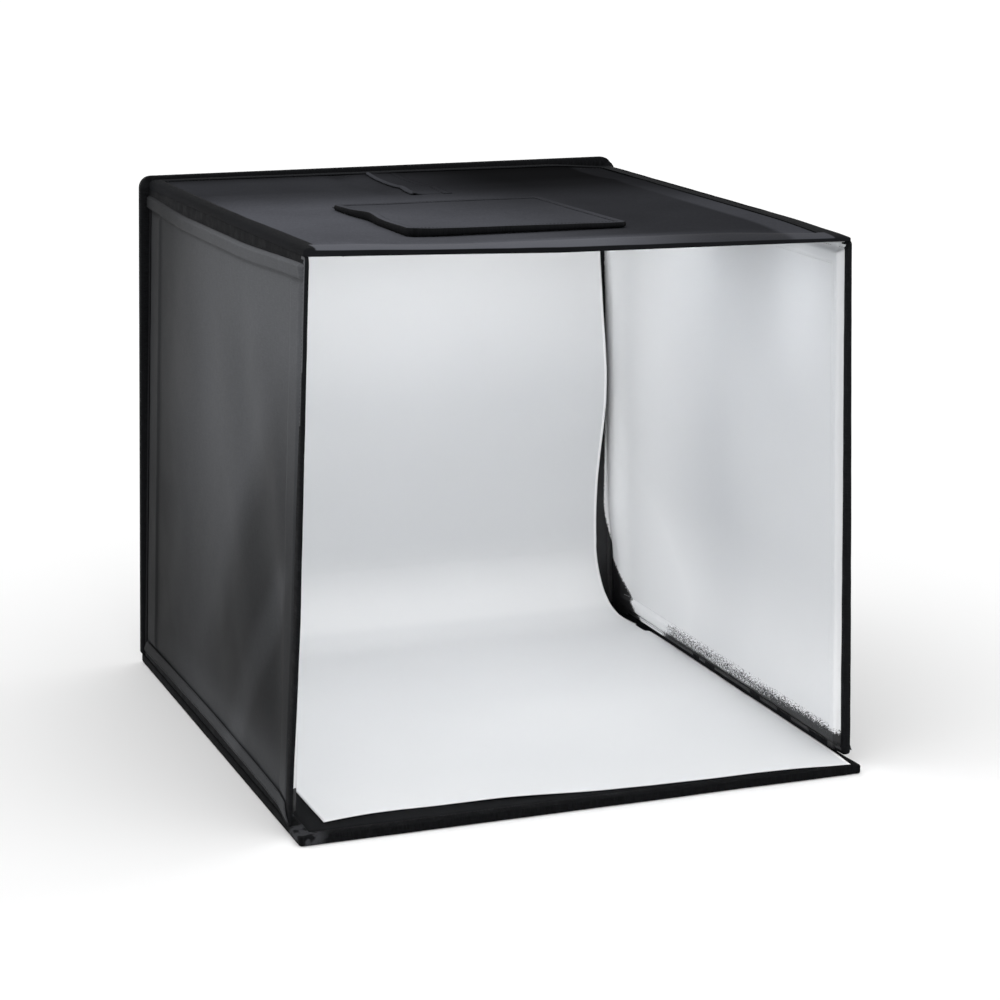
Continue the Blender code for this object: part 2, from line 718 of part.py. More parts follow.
def main():
    paint = {
        "black cloth": make_material("black cloth", (0.020, 0.021, 0.023), 0.75),
        "black tape": make_material("black tape", (0.009, 0.009, 0.010), 0.80),
        "silver cloth": make_material("silver cloth", (0.62, 0.63, 0.65), 0.38, 0.6),
        "white sheet": make_material("white sheet", (0.86, 0.87, 0.88), 0.60),
        "board": make_material("board", (0.30, 0.30, 0.31), 0.70),
        "spring steel": make_material("spring steel", (0.45, 0.45, 0.46), 0.35, 1.0),
        "hook tape": make_material("hook tape", (0.012, 0.012, 0.013), 0.95),
        "aluminium": make_material("aluminium", (0.70, 0.71, 0.72), 0.35, 1.0),
        "circuit board": make_material("circuit board", (0.80, 0.80, 0.78), 0.50),
        "diode": make_material("diode", (0.90, 0.85, 0.45), 0.30),
        "diffuser": make_material("diffuser", (0.90, 0.91, 0.92), 0.45),
        "black plastic": make_material("black plastic", (0.015, 0.015, 0.016), 0.45),
    }
    base = make_base(paint)
    back = make_back(paint)
    reach, strip_top = make_wall("left", -1, paint)
    make_wall("right", 1, paint)
    top, skin_high, lining_low = make_top(paint, back)
    make_window_flap(paint, top, skin_high)
    make_cable_flap(paint, top, skin_high)
    make_tabs(paint, top, lining_low, reach, strip_top)
    make_bands(paint, top, lining_low)
    for place, y in (("front", light_front_y), ("rear", light_rear_y)):
        make_light(place, y, paint, top, lining_low)
    make_backdrop(paint, base)


main()
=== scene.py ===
import math

import bmesh
import bpy
from mathutils import Matrix, Vector, noise


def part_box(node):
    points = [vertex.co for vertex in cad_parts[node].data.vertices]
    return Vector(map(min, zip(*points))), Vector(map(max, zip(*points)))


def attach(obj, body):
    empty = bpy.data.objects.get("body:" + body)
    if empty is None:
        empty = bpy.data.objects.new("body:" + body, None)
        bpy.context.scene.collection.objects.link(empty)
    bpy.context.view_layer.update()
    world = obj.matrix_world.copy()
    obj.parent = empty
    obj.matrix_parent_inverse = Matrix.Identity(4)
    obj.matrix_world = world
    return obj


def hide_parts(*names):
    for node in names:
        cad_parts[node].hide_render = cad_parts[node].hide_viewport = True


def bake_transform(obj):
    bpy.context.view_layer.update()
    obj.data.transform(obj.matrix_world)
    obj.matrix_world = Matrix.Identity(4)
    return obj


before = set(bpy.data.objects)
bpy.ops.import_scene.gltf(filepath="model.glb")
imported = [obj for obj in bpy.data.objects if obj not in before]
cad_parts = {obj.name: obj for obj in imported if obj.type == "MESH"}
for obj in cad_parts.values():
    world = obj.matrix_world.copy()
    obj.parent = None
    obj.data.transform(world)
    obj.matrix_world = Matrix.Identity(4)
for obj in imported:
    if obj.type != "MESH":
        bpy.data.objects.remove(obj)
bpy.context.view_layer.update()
print("frame loaded:", len(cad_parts), "nodes")

tent = {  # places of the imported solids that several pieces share
    "topHalf": 0.300, "footHalf": 0.3205, "baseHalf": 0.3209, "backTopHalf": 0.306,
    "level": 0.600, "wallFoot": 0.0103, "wallTop": 0.5857, "boardTop": 0.010,
    "wallFront": -0.3045, "wallRear": 0.3252, "baseFront": -0.3355, "baseRear": 0.3355,
    "backTop": 0.602, "cloth": 0.0008,
}
lean = math.atan((tent["footHalf"] - tent["topHalf"]) / (tent["level"] - tent["boardTop"]))
wallHeight = (tent["wallTop"] - tent["wallFoot"]) / math.cos(lean)
upward = Vector((0, 0, 1))
facingUp, facingDown = Matrix.Identity(4), Matrix.Diagonal((1, -1, -1, 1))


def clamp(value):
    return min(max(value, 0.0), 1.0)


def ease(value, low, high):
    share = clamp((value - low) / (high - low))
    return share * share * (3 - 2 * share)


def bell(distance, width):
    return math.exp(-(distance / width) ** 2)


def between(stops, place):
    if place <= stops[0][0]:
        return stops[0][1]
    for (low, here), (high, there) in zip(stops, stops[1:]):
        if place <= high:
            return here + (there - here) * (place - low) / (high - low)
    return stops[-1][1]


def ripple(u, v, scale, seed):
    return noise.noise(Vector((u * scale, v * scale, seed)))


def foldSum(u, v, folds):  # each fold: from, to, width there and here, height
    total = 0.0
    for (startU, startV), (endU, endV), startWidth, endWidth, height in folds:
        runU, runV = endU - startU, endV - startV
        share = clamp(((u - startU) * runU + (v - startV) * runV) / (runU * runU + runV * runV))
        away = math.hypot(u - startU - runU * share, v - startV - runV * share)
        total += height * bell(away, startWidth + (endWidth - startWidth) * share)
    return total


class Wire:  # a socket that can stand in sums and products
    def __init__(self, nodes, socket):
        self.nodes, self.socket = nodes, socket

    def join(self, operation, first, second):
        return self.nodes.node("ShaderNodeMath", {"operation": operation}, {0: first, 1: second})

    def rise(self, low, high, start=0.0, end=1.0):
        return self.nodes.node("ShaderNodeMapRange", {"interpolation_type": "SMOOTHSTEP"},
                               {"Value": self, "From Min": low, "From Max": high,
                                "To Min": start, "To Max": end})

    def blend(self, first, second):  # two colours, with this wire as the factor
        inputs = {"Factor": self, 6: first, 7: second}
        return self.nodes.node("ShaderNodeMix", {"data_type": "RGBA"}, inputs, out=2)

    def __add__(self, other):
        return self.join("ADD", self, other)

    def __sub__(self, other):
        return self.join("SUBTRACT", self, other)

    def __rsub__(self, other):
        return self.join("SUBTRACT", other, self)

    def __mul__(self, other):
        return self.join("MULTIPLY", self, other)

    __radd__ = __add__
    __rmul__ = __mul__


class Nodes:
    def __init__(self, tree):
        self.tree = tree

    def node(self, kind, settings=None, inputs=None, out=0):
        made = self.tree.nodes.new(kind)
        for name, value in (settings or {}).items():
            setattr(made, name, value)
        for key, value in (inputs or {}).items():
            if isinstance(value, Wire):
                self.tree.links.new(value.socket, made.inputs[key])
            elif key in (6, 7):  # the two colours of a mix, given without alpha
                made.inputs[key].default_value = (*value, 1)
            else:
                made.inputs[key].default_value = value
        return Wire(self, made.outputs[out])


class Paint(Nodes):  # one material and the nodes that feed it
    def __init__(self, name, fixed):
        self.material = bpy.data.materials.new(name)
        self.material.use_nodes = True
        super().__init__(self.material.node_tree)
        self.shader = self.tree.nodes["Principled BSDF"]
        for socket, value in fixed.items():
            self.shader.inputs[socket].default_value = value

    def spot(self, kind="Object", scale=(1, 1, 1)):
        found = self.node("ShaderNodeTexCoord", out=kind)
        return self.node("ShaderNodeMapping", inputs={"Vector": found, "Scale": scale})

    def axes(self, letters, kind="Object"):
        spot = self.spot(kind)
        return [self.node("ShaderNodeSeparateXYZ", inputs={0: spot}, out=letter)
                for letter in letters]

    def noise(self, scale, detail=2.0, rough=0.5, vector=None):
        return self.node("ShaderNodeTexNoise", inputs={
            "Vector": vector or self.spot(), "Scale": scale, "Detail": detail,
            "Roughness": rough})

    def threads(self, pitch):  # warp and weft as two streaky noises, so no moire
        long, short = 1.0 / pitch, 0.11 / pitch
        warp = self.noise(1.0, 1.0, vector=self.spot("UV", (long, short, short)))
        weft = self.noise(1.0, 1.0, vector=self.spot("UV", (short, long, long)))
        return warp.join("MAXIMUM", warp, weft)

    def finish(self, colour, roughness, height, strength, depth, glow=None):
        bump = self.node("ShaderNodeBump", inputs={
            "Height": height, "Strength": strength, "Distance": depth})
        wires = {"Base Color": colour, "Roughness": roughness, "Normal": bump,
                 "Emission Color": glow}
        for socket, wire in wires.items():
            if wire:
                self.tree.links.new(wire.socket, self.shader.inputs[socket])
        return self.material


def clothPaint(name, light, roughness, gloss, dark=(0.003, 0.003, 0.003), pitch=0.0011,
               shade=None, tape=None):
    paint = Paint(name, {"Specular IOR Level": gloss})
    weave, clouds = paint.threads(pitch), paint.noise(5.0, 3.0, 0.55)
    tone = clouds.rise(0.25, 0.75) * 0.22 + weave.rise(0.35, 0.75) * 0.20
    # shade, where given, paints light and shade into the colour
    tone = (tone + 0.72) * shade(paint) if shade else tone + 0.55
    colour = tone.blend(dark, light)
    if tape:  # part of this piece is black tape
        black = clouds.rise(0.3, 0.7).blend((0.0055, 0.0058, 0.0066), (0.011, 0.0115, 0.013))
        colour = tape(paint).blend(colour, black)
    rough = clouds.rise(0.3, 0.7, roughness - 0.05, roughness + 0.07)
    return paint.finish(colour, rough, weave, 0.45, 0.0003)


def topPaintedLight(paint):  # painted light and shade: the top is darker at the rear and on the right, lighter on its front roll and in a strip along the right rim
    x, y = paint.axes("XY")
    front = y.rise(-0.255, -0.282)
    rear = (1 - y.rise(0.0, 0.16) * 0.64) * (1 - y.rise(0.26, 0.31) * 0.5)
    right = 1 - x.rise(-0.12, 0.12) * 0.69 - y.rise(0.05, 0.24) * x.rise(-0.05, 0.12) * 0.18
    strip = x.rise(0.228, 0.240) * (y.rise(0.06, -0.10) * 0.20 + 0.07)
    roll = 1.12 - x.rise(-0.03, 0.17) * 0.80
    return rear * right * 0.80 * (1 - front) + roll * front + strip


def flapPaintedLight(paint):
    # painted shade: the flap is lighter at its front left and darker to the right and the rear
    x, y = paint.axes("XY")
    return 0.77 - x.rise(-0.12, 0.06) * 0.25 - y.rise(-0.15, 0.0) * 0.22


def rimTape(paint):  # all the rim but its front leg is black tape
    x, y = paint.axes("XY")
    leg = y.rise(-0.2780, -0.2790) * y.rise(-0.3038, -0.3026)
    return 1 - leg * x.rise(-0.2890, -0.2865) * x.rise(0.285, 0.282)


def wallPaintedLight(paint):  # painted light and shade on the outer walls: darker at the rear and low down above a lighter foot, a painted shadow along a fold with a lighter streak beside it, a brighter upper front, and the top sleeve's painted highlight and shadow line
    y, z = paint.axes("YZ")
    sag = y.rise(0.33, 0.15) * y.rise(-0.31, -0.06) * wall["sag"]
    below = wallHeight - paint.axes("Y", "UV")[0] - sag
    tall = z.rise(0.10, 0.42) * 0.37 + z.rise(0.085, 0.050) * 0.10 + 0.26
    rear = 1 - y.rise(0.02, 0.27) * 0.73
    across = y + z * 0.70 - 0.025
    # painted shadow along the diagonal fold, and a lighter streak beside it
    dip = across.rise(0.13, 0.03) * z.rise(0.52, 0.30) * z.rise(0.04, 0.12) * 0.55
    streak = across.rise(-0.03, -0.075) * across.rise(-0.125, -0.09)
    bright = y.rise(0.05, -0.10) * z.rise(0.44, 0.52) * 0.12
    # painted highlight on the sleeve's upper edge, painted shadow line under it, and the band
    # between painted darker
    ridgeHighlight = below.rise(0.0085, 0.0100) * below.rise(0.0135, 0.0110) * 0.32
    grooveShadow = below.rise(0.0225, 0.0255) * below.rise(0.0300, 0.0270) * 0.30
    band = below.rise(0.0275, 0.0240) * 0.14
    fold = streak * z.rise(0.29, 0.24) * 0.40 - dip
    return tall * rear * (fold + 1 + bright + ridgeHighlight - grooveShadow - band)


def tapePaint(name, light, dark, gloss, patchStrength=0.0):  # ribbed edge tape: ribs run across it
    paint = Paint(name, {"Specular IOR Level": gloss})
    ribs = paint.noise(1.0, 1.0, vector=paint.spot("UV", (900, 90, 90)))
    lint = paint.noise(60.0, 3.0, 0.6)
    tone = ribs.rise(0.35, 0.7) * 0.6 + lint.rise(0.45, 0.8) * 0.4
    x, y = paint.axes("XY")  # lighter grey patches on the folds at the front left corner
    patchZone = x.rise(-0.285, -0.304) * y.rise(-0.290, -0.306) * patchStrength
    patches = paint.noise(75.0).rise(0.46, 0.58) * patchZone
    colour = patches.blend(tone.blend(dark, light), (0.042, 0.043, 0.047))
    return paint.finish(colour, lint.rise(0.3, 0.7, 0.72, 0.90), ribs, 0.6, 0.0003)


def hookPaint(name):  # hook and loop tape: a fine tangled pile
    paint = Paint(name, {"Specular IOR Level": 0.10})
    pile, lint = paint.noise(900.0, 2.0, 0.7), paint.noise(90.0, 3.0, 0.6)
    tone = pile.rise(0.35, 0.7) * 0.7 + lint.rise(0.55, 0.8) * 0.3
    return paint.finish(tone.blend((0.004, 0.004, 0.005), (0.020, 0.020, 0.022)),
                        pile.rise(0.3, 0.7, 0.85, 0.98), pile, 0.9, 0.0008)


def liningPaint(name, corner=None):  # silver coated cloth with soft blotches and painted light
    paint = Paint(name, {"Specular IOR Level": 0.5, "Metallic": 0.12})
    clouds, crumple = paint.noise(3.2, 2.0, 0.45), paint.noise(34.0, 3.0, 0.6)
    y, z = paint.axes("YZ")
    # painted light: the lining is lighter towards the rear and low down, to offset the shade there
    far, low = y.rise(-0.02, 0.24) * 0.80, z.rise(0.22, 0.06) * 0.50
    tone = clouds.rise(0.3, 0.7) * 0.16 + 0.12 + far + low
    colour = tone.blend((0.560, 0.574, 0.592), (0.900, 0.906, 0.914))
    height = paint.threads(0.0011) * 0.35 + crumple * 0.3
    if corner:  # painted shadow in the right corner, broken into dark specks like a reflection in the crinkled silver
        specks = paint.noise(560.0, 3.0, 0.75)
        cover, foil = corner(paint)
        mask = (specks * 0.9 + cover).rise(0.93, 1.03)
        colour = mask.blend(colour, (0.008, 0.008, 0.009))
        height = height + specks * foil * 3.0
    rough = (clouds + crumple * 0.3).rise(0.4, 0.9, 0.42, 0.55)
    return paint.finish(colour, rough, height, 0.35, 0.0005)


def wallCornerShadow(paint):  # painted shadow up the right wall's rear edge behind the backdrop, painted dark specks and a dark line along its foot, and a dark patch at the left wall's front foot
    x, y, z = paint.axes("XYZ")
    right = x.rise(0.10, 0.20)
    rear = (y - 1.25 * z).rise(0.196, 0.236) * z.rise(0.120, 0.082)
    foot = z.rise(0.052, 0.032) * y.rise(0.215, 0.13)
    black = z.rise(0.027, 0.016) * 0.34
    front = y.rise(-0.05, -0.28) * (z.rise(0.036, 0.024) * 0.28 + 0.03)
    left = x.rise(-0.10, -0.20) * y.rise(-0.272, -0.284) * z.rise(0.052, 0.044)
    return right * (rear * 0.80 + foot * (front + black + 0.54)) + left, right * foot


def backCornerShadow(paint):  # painted shadow behind the backdrop's right edge, low down
    x, z = paint.axes("XZ")
    reach = 0.2925 + z.rise(0.47, 0.38) * 0.0055 + z.rise(0.160, 0.010) * 0.035
    return x.rise(0.10, 0.20) * (x - reach).rise(0.0060, -0.0050), x * 0


def sheetPaint():  # smooth white backdrop with painted light and shade, and a painted highlight along its hem
    paint = Paint("whiteSheet", {"Specular IOR Level": 0.3})
    spot = paint.spot("UV")
    grain, clouds = paint.noise(700.0, 2.0, 0.6, spot), paint.noise(3.5, vector=spot)
    x, y, z = paint.axes("XYZ")
    # painted shade on the hanging middle and on the floor, more to the front right, and painted
    # light at the top
    dim = z.rise(0.03, 0.13) * z.rise(0.50, 0.29) * 0.62
    high = z.rise(0.47, 0.56) * 0.20
    ahead = y.rise(-0.02, -0.28) * x.rise(-0.25, 0.08, 0.3, 1.0) * 0.30 + 0.18
    tone = clouds.rise(0.25, 0.75) * 0.10 + 0.80 + high - dim - z.rise(0.03, 0.02) * ahead
    white = tone.blend((0.620, 0.634, 0.650), (0.902, 0.906, 0.910))
    # painted highlight along the right hem
    hem = paint.axes("X", "UV")[0].rise(0.5762, 0.5772)
    return paint.finish(hem.blend(white, (0.94, 0.94, 0.94)),
                        clouds.rise(0.3, 0.7, 0.55, 0.64), grain, 0.12, 0.0002)


def hardPaint(name, light, dark, roughness, metallic=0.0, grain=(1, 1, 1), scale=200.0,
              relief=0.15, gloss=0.5):
    paint = Paint(name, {"Metallic": metallic, "Specular IOR Level": gloss})
    streaks = paint.noise(scale, 2.0, 0.6, paint.spot("Object", grain))
    rough = streaks.rise(0.3, 0.7, roughness - 0.05, roughness + 0.08)
    colour = streaks.rise(0.3, 0.7).blend(dark, light)
    return paint.finish(colour, rough, streaks, relief, 0.0002)


def boardPaint():  # white solder mask, yellow diodes standing on it
    paint = Paint("ledBoard", {"Specular IOR Level": 0.5})
    grain = paint.noise(400.0)
    low = paint.axes("Z")[0].rise(0.58895, 0.58885)
    return paint.finish(low.blend((0.76, 0.77, 0.75), (0.88, 0.72, 0.22)),
                        grain.rise(0.3, 0.7, 0.38, 0.50), grain, 0.1, 0.0001)


def diffuserPaint():  # frosted cover, lit from behind by the diodes
    paint = Paint("frostedCover", {"Roughness": 0.45, "Emission Strength": lights["glow"]})
    frost = paint.noise(500.0)
    tone = frost.rise(0.3, 0.7)
    return paint.finish(tone.blend((0.80, 0.81, 0.82), (0.86, 0.87, 0.88)), None, frost, 0.2,
                        0.0002, tone.blend((0.975, 0.985, 1.0), (0.99, 0.995, 1.0)))


wall = {  # heights stand out from the wall's own plane
    "corner": 0.005, "clothCorner": 0.004, "inset": 0.0012, "skin": -0.0023, "lining": 0.0042,
    "tapeWidth": 0.009, "tapeHigh": -0.0011, "tapeLow": -0.0054, "stripCloth": 0.0009,
    "sleeveStart": 0.0098, "sleeveRise": 0.0028, "sleeveCrest": 0.0115, "sleeveDepth": 0.0043,
    "outerEmboss": 0.0020, "bandEmboss": 0.0042, "hemHeight": 0.020, "hemMitre": 0.016,
    "hemLaid": 0.0156, "frontRaise": 0.014, "rearRaise": 0.004, "sag": 0.0065,
    "leftPush": ((0, 0.0042), (0.06, 0.0033), (0.10, 0.0024), (0.15, 0.0012), (0.22, 0)),
    "rightPush": ((0, 0.0038), (0.576, 0.0042)), "leftSwell": ((0, 0), (0.576, 0)),
    "rightSwell": ((0.10, 0.0038), (0.30, 0.0024), (0.56, 0.0002)),
}
lights = {"glow": 27.0, "sky": 1.0, "tilt": 0.40, "towards": (-0.50, -0.62, 0.60)}

# the top, rim and flap share one grey cloth; each copy paints in its own light and shade
greyCloth = (0.098, 0.101, 0.116)
outerCloth = clothPaint("outerCloth", (0.112, 0.116, 0.125), 0.55, 0.03, shade=wallPaintedLight)
topCloth = clothPaint("topCloth", greyCloth, 0.58, 0.0, shade=topPaintedLight)
rimCloth = clothPaint("rimCloth", greyCloth, 0.60, 0.01, shade=topPaintedLight, tape=rimTape)
flapCloth = clothPaint("flapCloth", greyCloth, 0.58, 0.0, shade=flapPaintedLight)
plainBlack = clothPaint("plainBlackCloth", (0.0085, 0.009, 0.010), 0.75, 0.05,
                        (0.0035, 0.0036, 0.004), 0.0012)
rearCloth = clothPaint("rearCloth", (0.056, 0.058, 0.063), 0.60, 0.08, (0.034, 0.035, 0.039))
blackTape = tapePaint("edgeTape", (0.0115, 0.0120, 0.0135), (0.0035, 0.0037, 0.0043), 0.06)
lipTape = tapePaint("baseTape", (0.0080, 0.0084, 0.0094), (0.0020, 0.0021, 0.0024), 0.05, 0.8)
hookTape = hookPaint("hookTape")
silverCloth = liningPaint("silverCloth")
wallLining = liningPaint("wallLining", wallCornerShadow)
backLining = liningPaint("backLining", backCornerShadow)
whiteSheet = sheetPaint()
darkThread = hardPaint("darkThread", (0.014, 0.014, 0.016), (0.006, 0.006, 0.007), 0.70, gloss=0.2)
greyThread = hardPaint("greyThread", (0.60, 0.61, 0.63), (0.48, 0.49, 0.51), 0.65, gloss=0.2)
springSteel = hardPaint("springSteel", (0.46, 0.46, 0.47), (0.34, 0.34, 0.35), 0.34, 1.0)
print("materials mixed")


def panelPlace(origin, along, up, out):
    return Matrix.Translation(origin) @ Matrix((along, up, out)).transposed().to_4x4()


def boxCorners(left, front, right, rear, radius):
    return [(left, front, radius), (right, front, radius), (right, rear, radius),
            (left, rear, radius)]


def spread(low, high, cell, fine=None, margin=0.0, marks=()):
    stretches = [(low, high, cell)]
    if fine:
        stretches = [(low, low + margin, fine), (low + margin, high - margin, cell),
                     (high - margin, high, fine)]
    places = []
    for start, end, step in stretches:
        count = max(1, round((end - start) / step))
        places += [start + (end - start) * i / count for i in range(count)]
    places.append(high)
    for mark in marks:
        nearest = min(range(1, len(places) - 1), key=lambda i: abs(places[i] - mark))
        places[nearest] = mark
    return places


def roundedCorner(u, v, box, radius):  # a square corner drawn in onto its arc
    for sideU, edgeU in ((-1, box[0]), (1, box[2])):
        for sideV, edgeV in ((-1, box[1]), (1, box[3])):
            a = (u - edgeU) * sideU + radius
            b = (v - edgeV) * sideV + radius
            if a > 1e-9 and b > 1e-9:
                share = max(a, b) / math.hypot(a, b)
                return (edgeU + (a * share - radius) * sideU,
                        edgeV + (b * share - radius) * sideV)
    return u, v


def clothGrid(us, vs, surface, place=facingUp, radius=0.0, holes=()):
    cloth = bmesh.new()
    bmesh.ops.create_grid(cloth, x_segments=len(us) - 1, y_segments=len(vs) - 1, size=0.5)
    spots = {vert: (us[round((vert.co.x + 0.5) * (len(us) - 1))],
                    vs[round((vert.co.y + 0.5) * (len(vs) - 1))]) for vert in cloth.verts}
    for left, front, right, rear, holeRadius in holes:
        gone = []
        for face in cloth.faces:
            u, v = (sum(spots[vert][i] for vert in face.verts) / len(face.verts) for i in (0, 1))
            if left < u < right and front < v < rear:
                gone.append(face)
        bmesh.ops.delete(cloth, geom=gone, context="FACES")
        spots = {vert: spots[vert] for vert in cloth.verts}
        for vert, (u, v) in spots.items():
            if left - 1e-7 < u < right + 1e-7 and front - 1e-7 < v < rear + 1e-7:
                spots[vert] = roundedCorner(u, v, (left, front, right, rear), holeRadius)
    chart = cloth.loops.layers.uv.new("cloth")
    for face in cloth.faces:
        for loop in face.loops:
            loop[chart].uv = spots[loop.vert]
    box = (us[0], vs[0], us[-1], vs[-1])
    for vert, (u, v) in spots.items():
        if radius:
            u, v = roundedCorner(u, v, box, radius)
        vert.co = place @ Vector(surface(u, v))
    return cloth


def finishPiece(name, shape, paints, thickness=0.0):
    mesh = bpy.data.meshes.new(name)
    shape.to_mesh(mesh)
    shape.free()
    mesh.shade_smooth()
    piece = bpy.data.objects.new(name, mesh)
    bpy.context.scene.collection.objects.link(piece)
    for paint in paints:
        mesh.materials.append(paint)
    if thickness:
        solid = piece.modifiers.new("thickness", "SOLIDIFY")
        solid.thickness, solid.offset, solid.use_even_offset = thickness, -1.0, False
    return piece


def dress(name, shape, paints, body, *nodes, thickness=0.0, slot=None):
    piece = finishPiece(name, shape, paints, thickness)
    if body == "backdrop":  # the backdrop bends where the back panel folds on the base; here it is only baked in place, on no body
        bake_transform(piece)
    else:
        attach(piece, body)
    if nodes:
        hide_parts(*nodes)
    return piece


def panel(name, us, vs, surface, place, paint, body, node, radius=0.0, holes=(),
          thickness=tent["cloth"]):
    shape = clothGrid(us, vs, surface, place, radius, holes)
    return dress(name, shape, [paint], body, node, thickness=thickness)


def outlinePoints(corners, inset, cell=0.009):
    tips = [Vector(corner[:2]) for corner in corners]
    count = len(tips)
    arcs = []
    for i in range(count):
        before = (tips[i] - tips[i - 1]).normalized()
        after = (tips[(i + 1) % count] - tips[i]).normalized()
        inward = Vector((-before.y, before.x))
        turn = math.atan2(before.cross(after), before.dot(after))
        tip = tips[i] + inward * inset - before * inset * math.tan(turn / 2)
        radius = max(corners[i][2] - inset, 0.0012)
        start = tip - before * radius * math.tan(turn / 2)
        centre = start + inward * radius
        arcs.append([centre + Matrix.Rotation(turn * step / 6, 2) @ (start - centre)
                     for step in range(7)])
    ring = []
    for i, arc in enumerate(arcs):
        following = arcs[(i + 1) % count][0]
        pieces = max(1, round((tips[(i + 1) % count] - tips[i]).length / cell))
        ring += arc + [arc[-1].lerp(following, k / pieces) for k in range(1, pieces)]
    return ring


def asDrawn(u, v, w, inset):
    return u, v, w


def sweptBand(corners, profile, place, warp=asDrawn, cell=0.009, closed=False,
              faces=lambda step, centre: 0):
    # runs a profile of (inset, height) round an outline, one extruded ring for each of its points
    band = bmesh.new()
    rings = [[place @ Vector(warp(p.x, p.y, height, inset))
              for p in outlinePoints(corners, inset, cell)] for inset, height in profile]
    count = len(rings[0])
    lengths = [0.0]
    for here, there in zip(rings[0], rings[0][1:] + rings[0][:1]):
        lengths.append(lengths[-1] + (there - here).length)
    verts = [band.verts.new(point) for point in rings[0]]
    edges = [band.edges.new(pair) for pair in zip(verts, verts[1:] + verts[:1])]
    order = {vert: i for i, vert in enumerate(verts)}
    spots = {vert: (i, 0.0) for vert, i in order.items()}
    across = 0.0
    for k in range(1, len(rings)):
        across += math.dist(profile[k], profile[k - 1])
        made = bmesh.ops.extrude_edge_only(band, edges=edges)["geom"]
        edges = [item for item in made if isinstance(item, bmesh.types.BMEdge)]
        following = {}
        for item in made:
            if isinstance(item, bmesh.types.BMVert):
                for edge in item.link_edges:
                    if edge.other_vert(item) in order:
                        following[item] = order[edge.other_vert(item)]
        for vert, i in following.items():
            vert.co = rings[k][i]
            spots[vert] = (i, across)
        order = following
        for item in made:
            if isinstance(item, bmesh.types.BMFace):
                item.material_index = faces(k - 1, item.calc_center_median())
    if closed:
        bmesh.ops.remove_doubles(band, verts=band.verts[:], dist=1e-6)
        spots = {vert: spots[vert] for vert in band.verts if vert in spots}
    chart = band.loops.layers.uv.new("cloth")
    for face in band.faces:
        marks = [spots[loop.vert] for loop in face.loops]
        wraps = max(i for i, _ in marks) - min(i for i, _ in marks) > count / 2
        for loop, (i, high) in zip(face.loops, marks):
            loop[chart].uv = (lengths[count if wraps and i == 0 else i], high)
    middle = sum((p for p in rings[0]), Vector()) / count
    fold = max(band.faces, key=lambda face: (face.calc_center_median() - middle).length)
    band.normal_update()
    if fold.normal.dot(fold.calc_center_median() - middle) < 0:
        bmesh.ops.reverse_faces(band, faces=band.faces[:])
    return band


def foldedProfile(width, low, high):  # an edge tape seen end on: leg, rounded fold, leg
    soft = min(0.0016, (high - low) * 0.48)
    leg = [(width, 0.0003), (width * 0.93, 0), (width * 0.5, -0.0001), (soft, 0),
           (soft * 0.3, soft * 0.3), (0, soft)]
    return [(inset, high - fall) for inset, fall in leg] + [
        (inset, low + fall) for inset, fall in reversed(leg)]


def edgeTape(name, node, body, corners, width, low, high, place, paints, warp=asDrawn,
             thickness=0.0009, seed=0.0, **sweep):
    def wavy(u, v, w, inset):
        if inset > width * 0.8:  # the free edge of a leg wanders a little
            shift = 0.0004 * ripple(u, v, 22.0, seed)
            u, v = u + shift, v + shift
        return warp(u, v, w + 0.0002 * ripple(u, v, 35.0, seed + 3), inset)
    band = sweptBand(corners, foldedProfile(width, low, high), place, wavy, **sweep)
    return dress(name, band, paints, body, node, thickness=thickness)


def stitchRows(name, body, rows, paint=darkThread, length=0.0030, radius=0.00032, pitch=0.0042):
    # rows: (points, out, closed); each stitch is a small long bead half sunk into the cloth
    sewn = bmesh.new()
    size = Matrix.Diagonal((length / 2, radius, radius, 1))
    for points, out, closed in rows:
        if closed:
            points = points + points[:1]
        total = sum((b - a).length for a, b in zip(points, points[1:]))
        count = max(1, int(total / pitch))
        gap, want, walked = total / count, total / count / 2, 0.0
        for a, b in zip(points, points[1:]):
            step = (b - a).length
            while walked + step >= want and step > 1e-9:
                run = (b - a) / step
                spot = a + run * (want - walked) - out * radius * 0.4
                place = panelPlace(spot, run, out.cross(run).normalized(), out)
                bmesh.ops.create_icosphere(sewn, subdivisions=1, radius=1.0, matrix=place @ size)
                want += gap
            walked += step
    return dress(name, sewn, [paint], body)


def ringRow(corners, inset, height, place, warp=asDrawn):
    return [place @ Vector(warp(p.x, p.y, height, inset)) for p in outlinePoints(corners, inset)]


def bothLegs(corners, inset, low, high, place, warp, out):  # rows on a tape's two legs
    return [(ringRow(corners, inset, level, place, warp), side, True)
            for level, side in ((high + 0.0001, out), (low - 0.0001, -out))]


def openRow(points, keep):  # the one stretch of a closed row that passes a test
    first = next(i for i in range(len(points)) if keep(points[i]) and not keep(points[i - 1]))
    return [point for point in points[first:] + points[:first] if keep(point)]


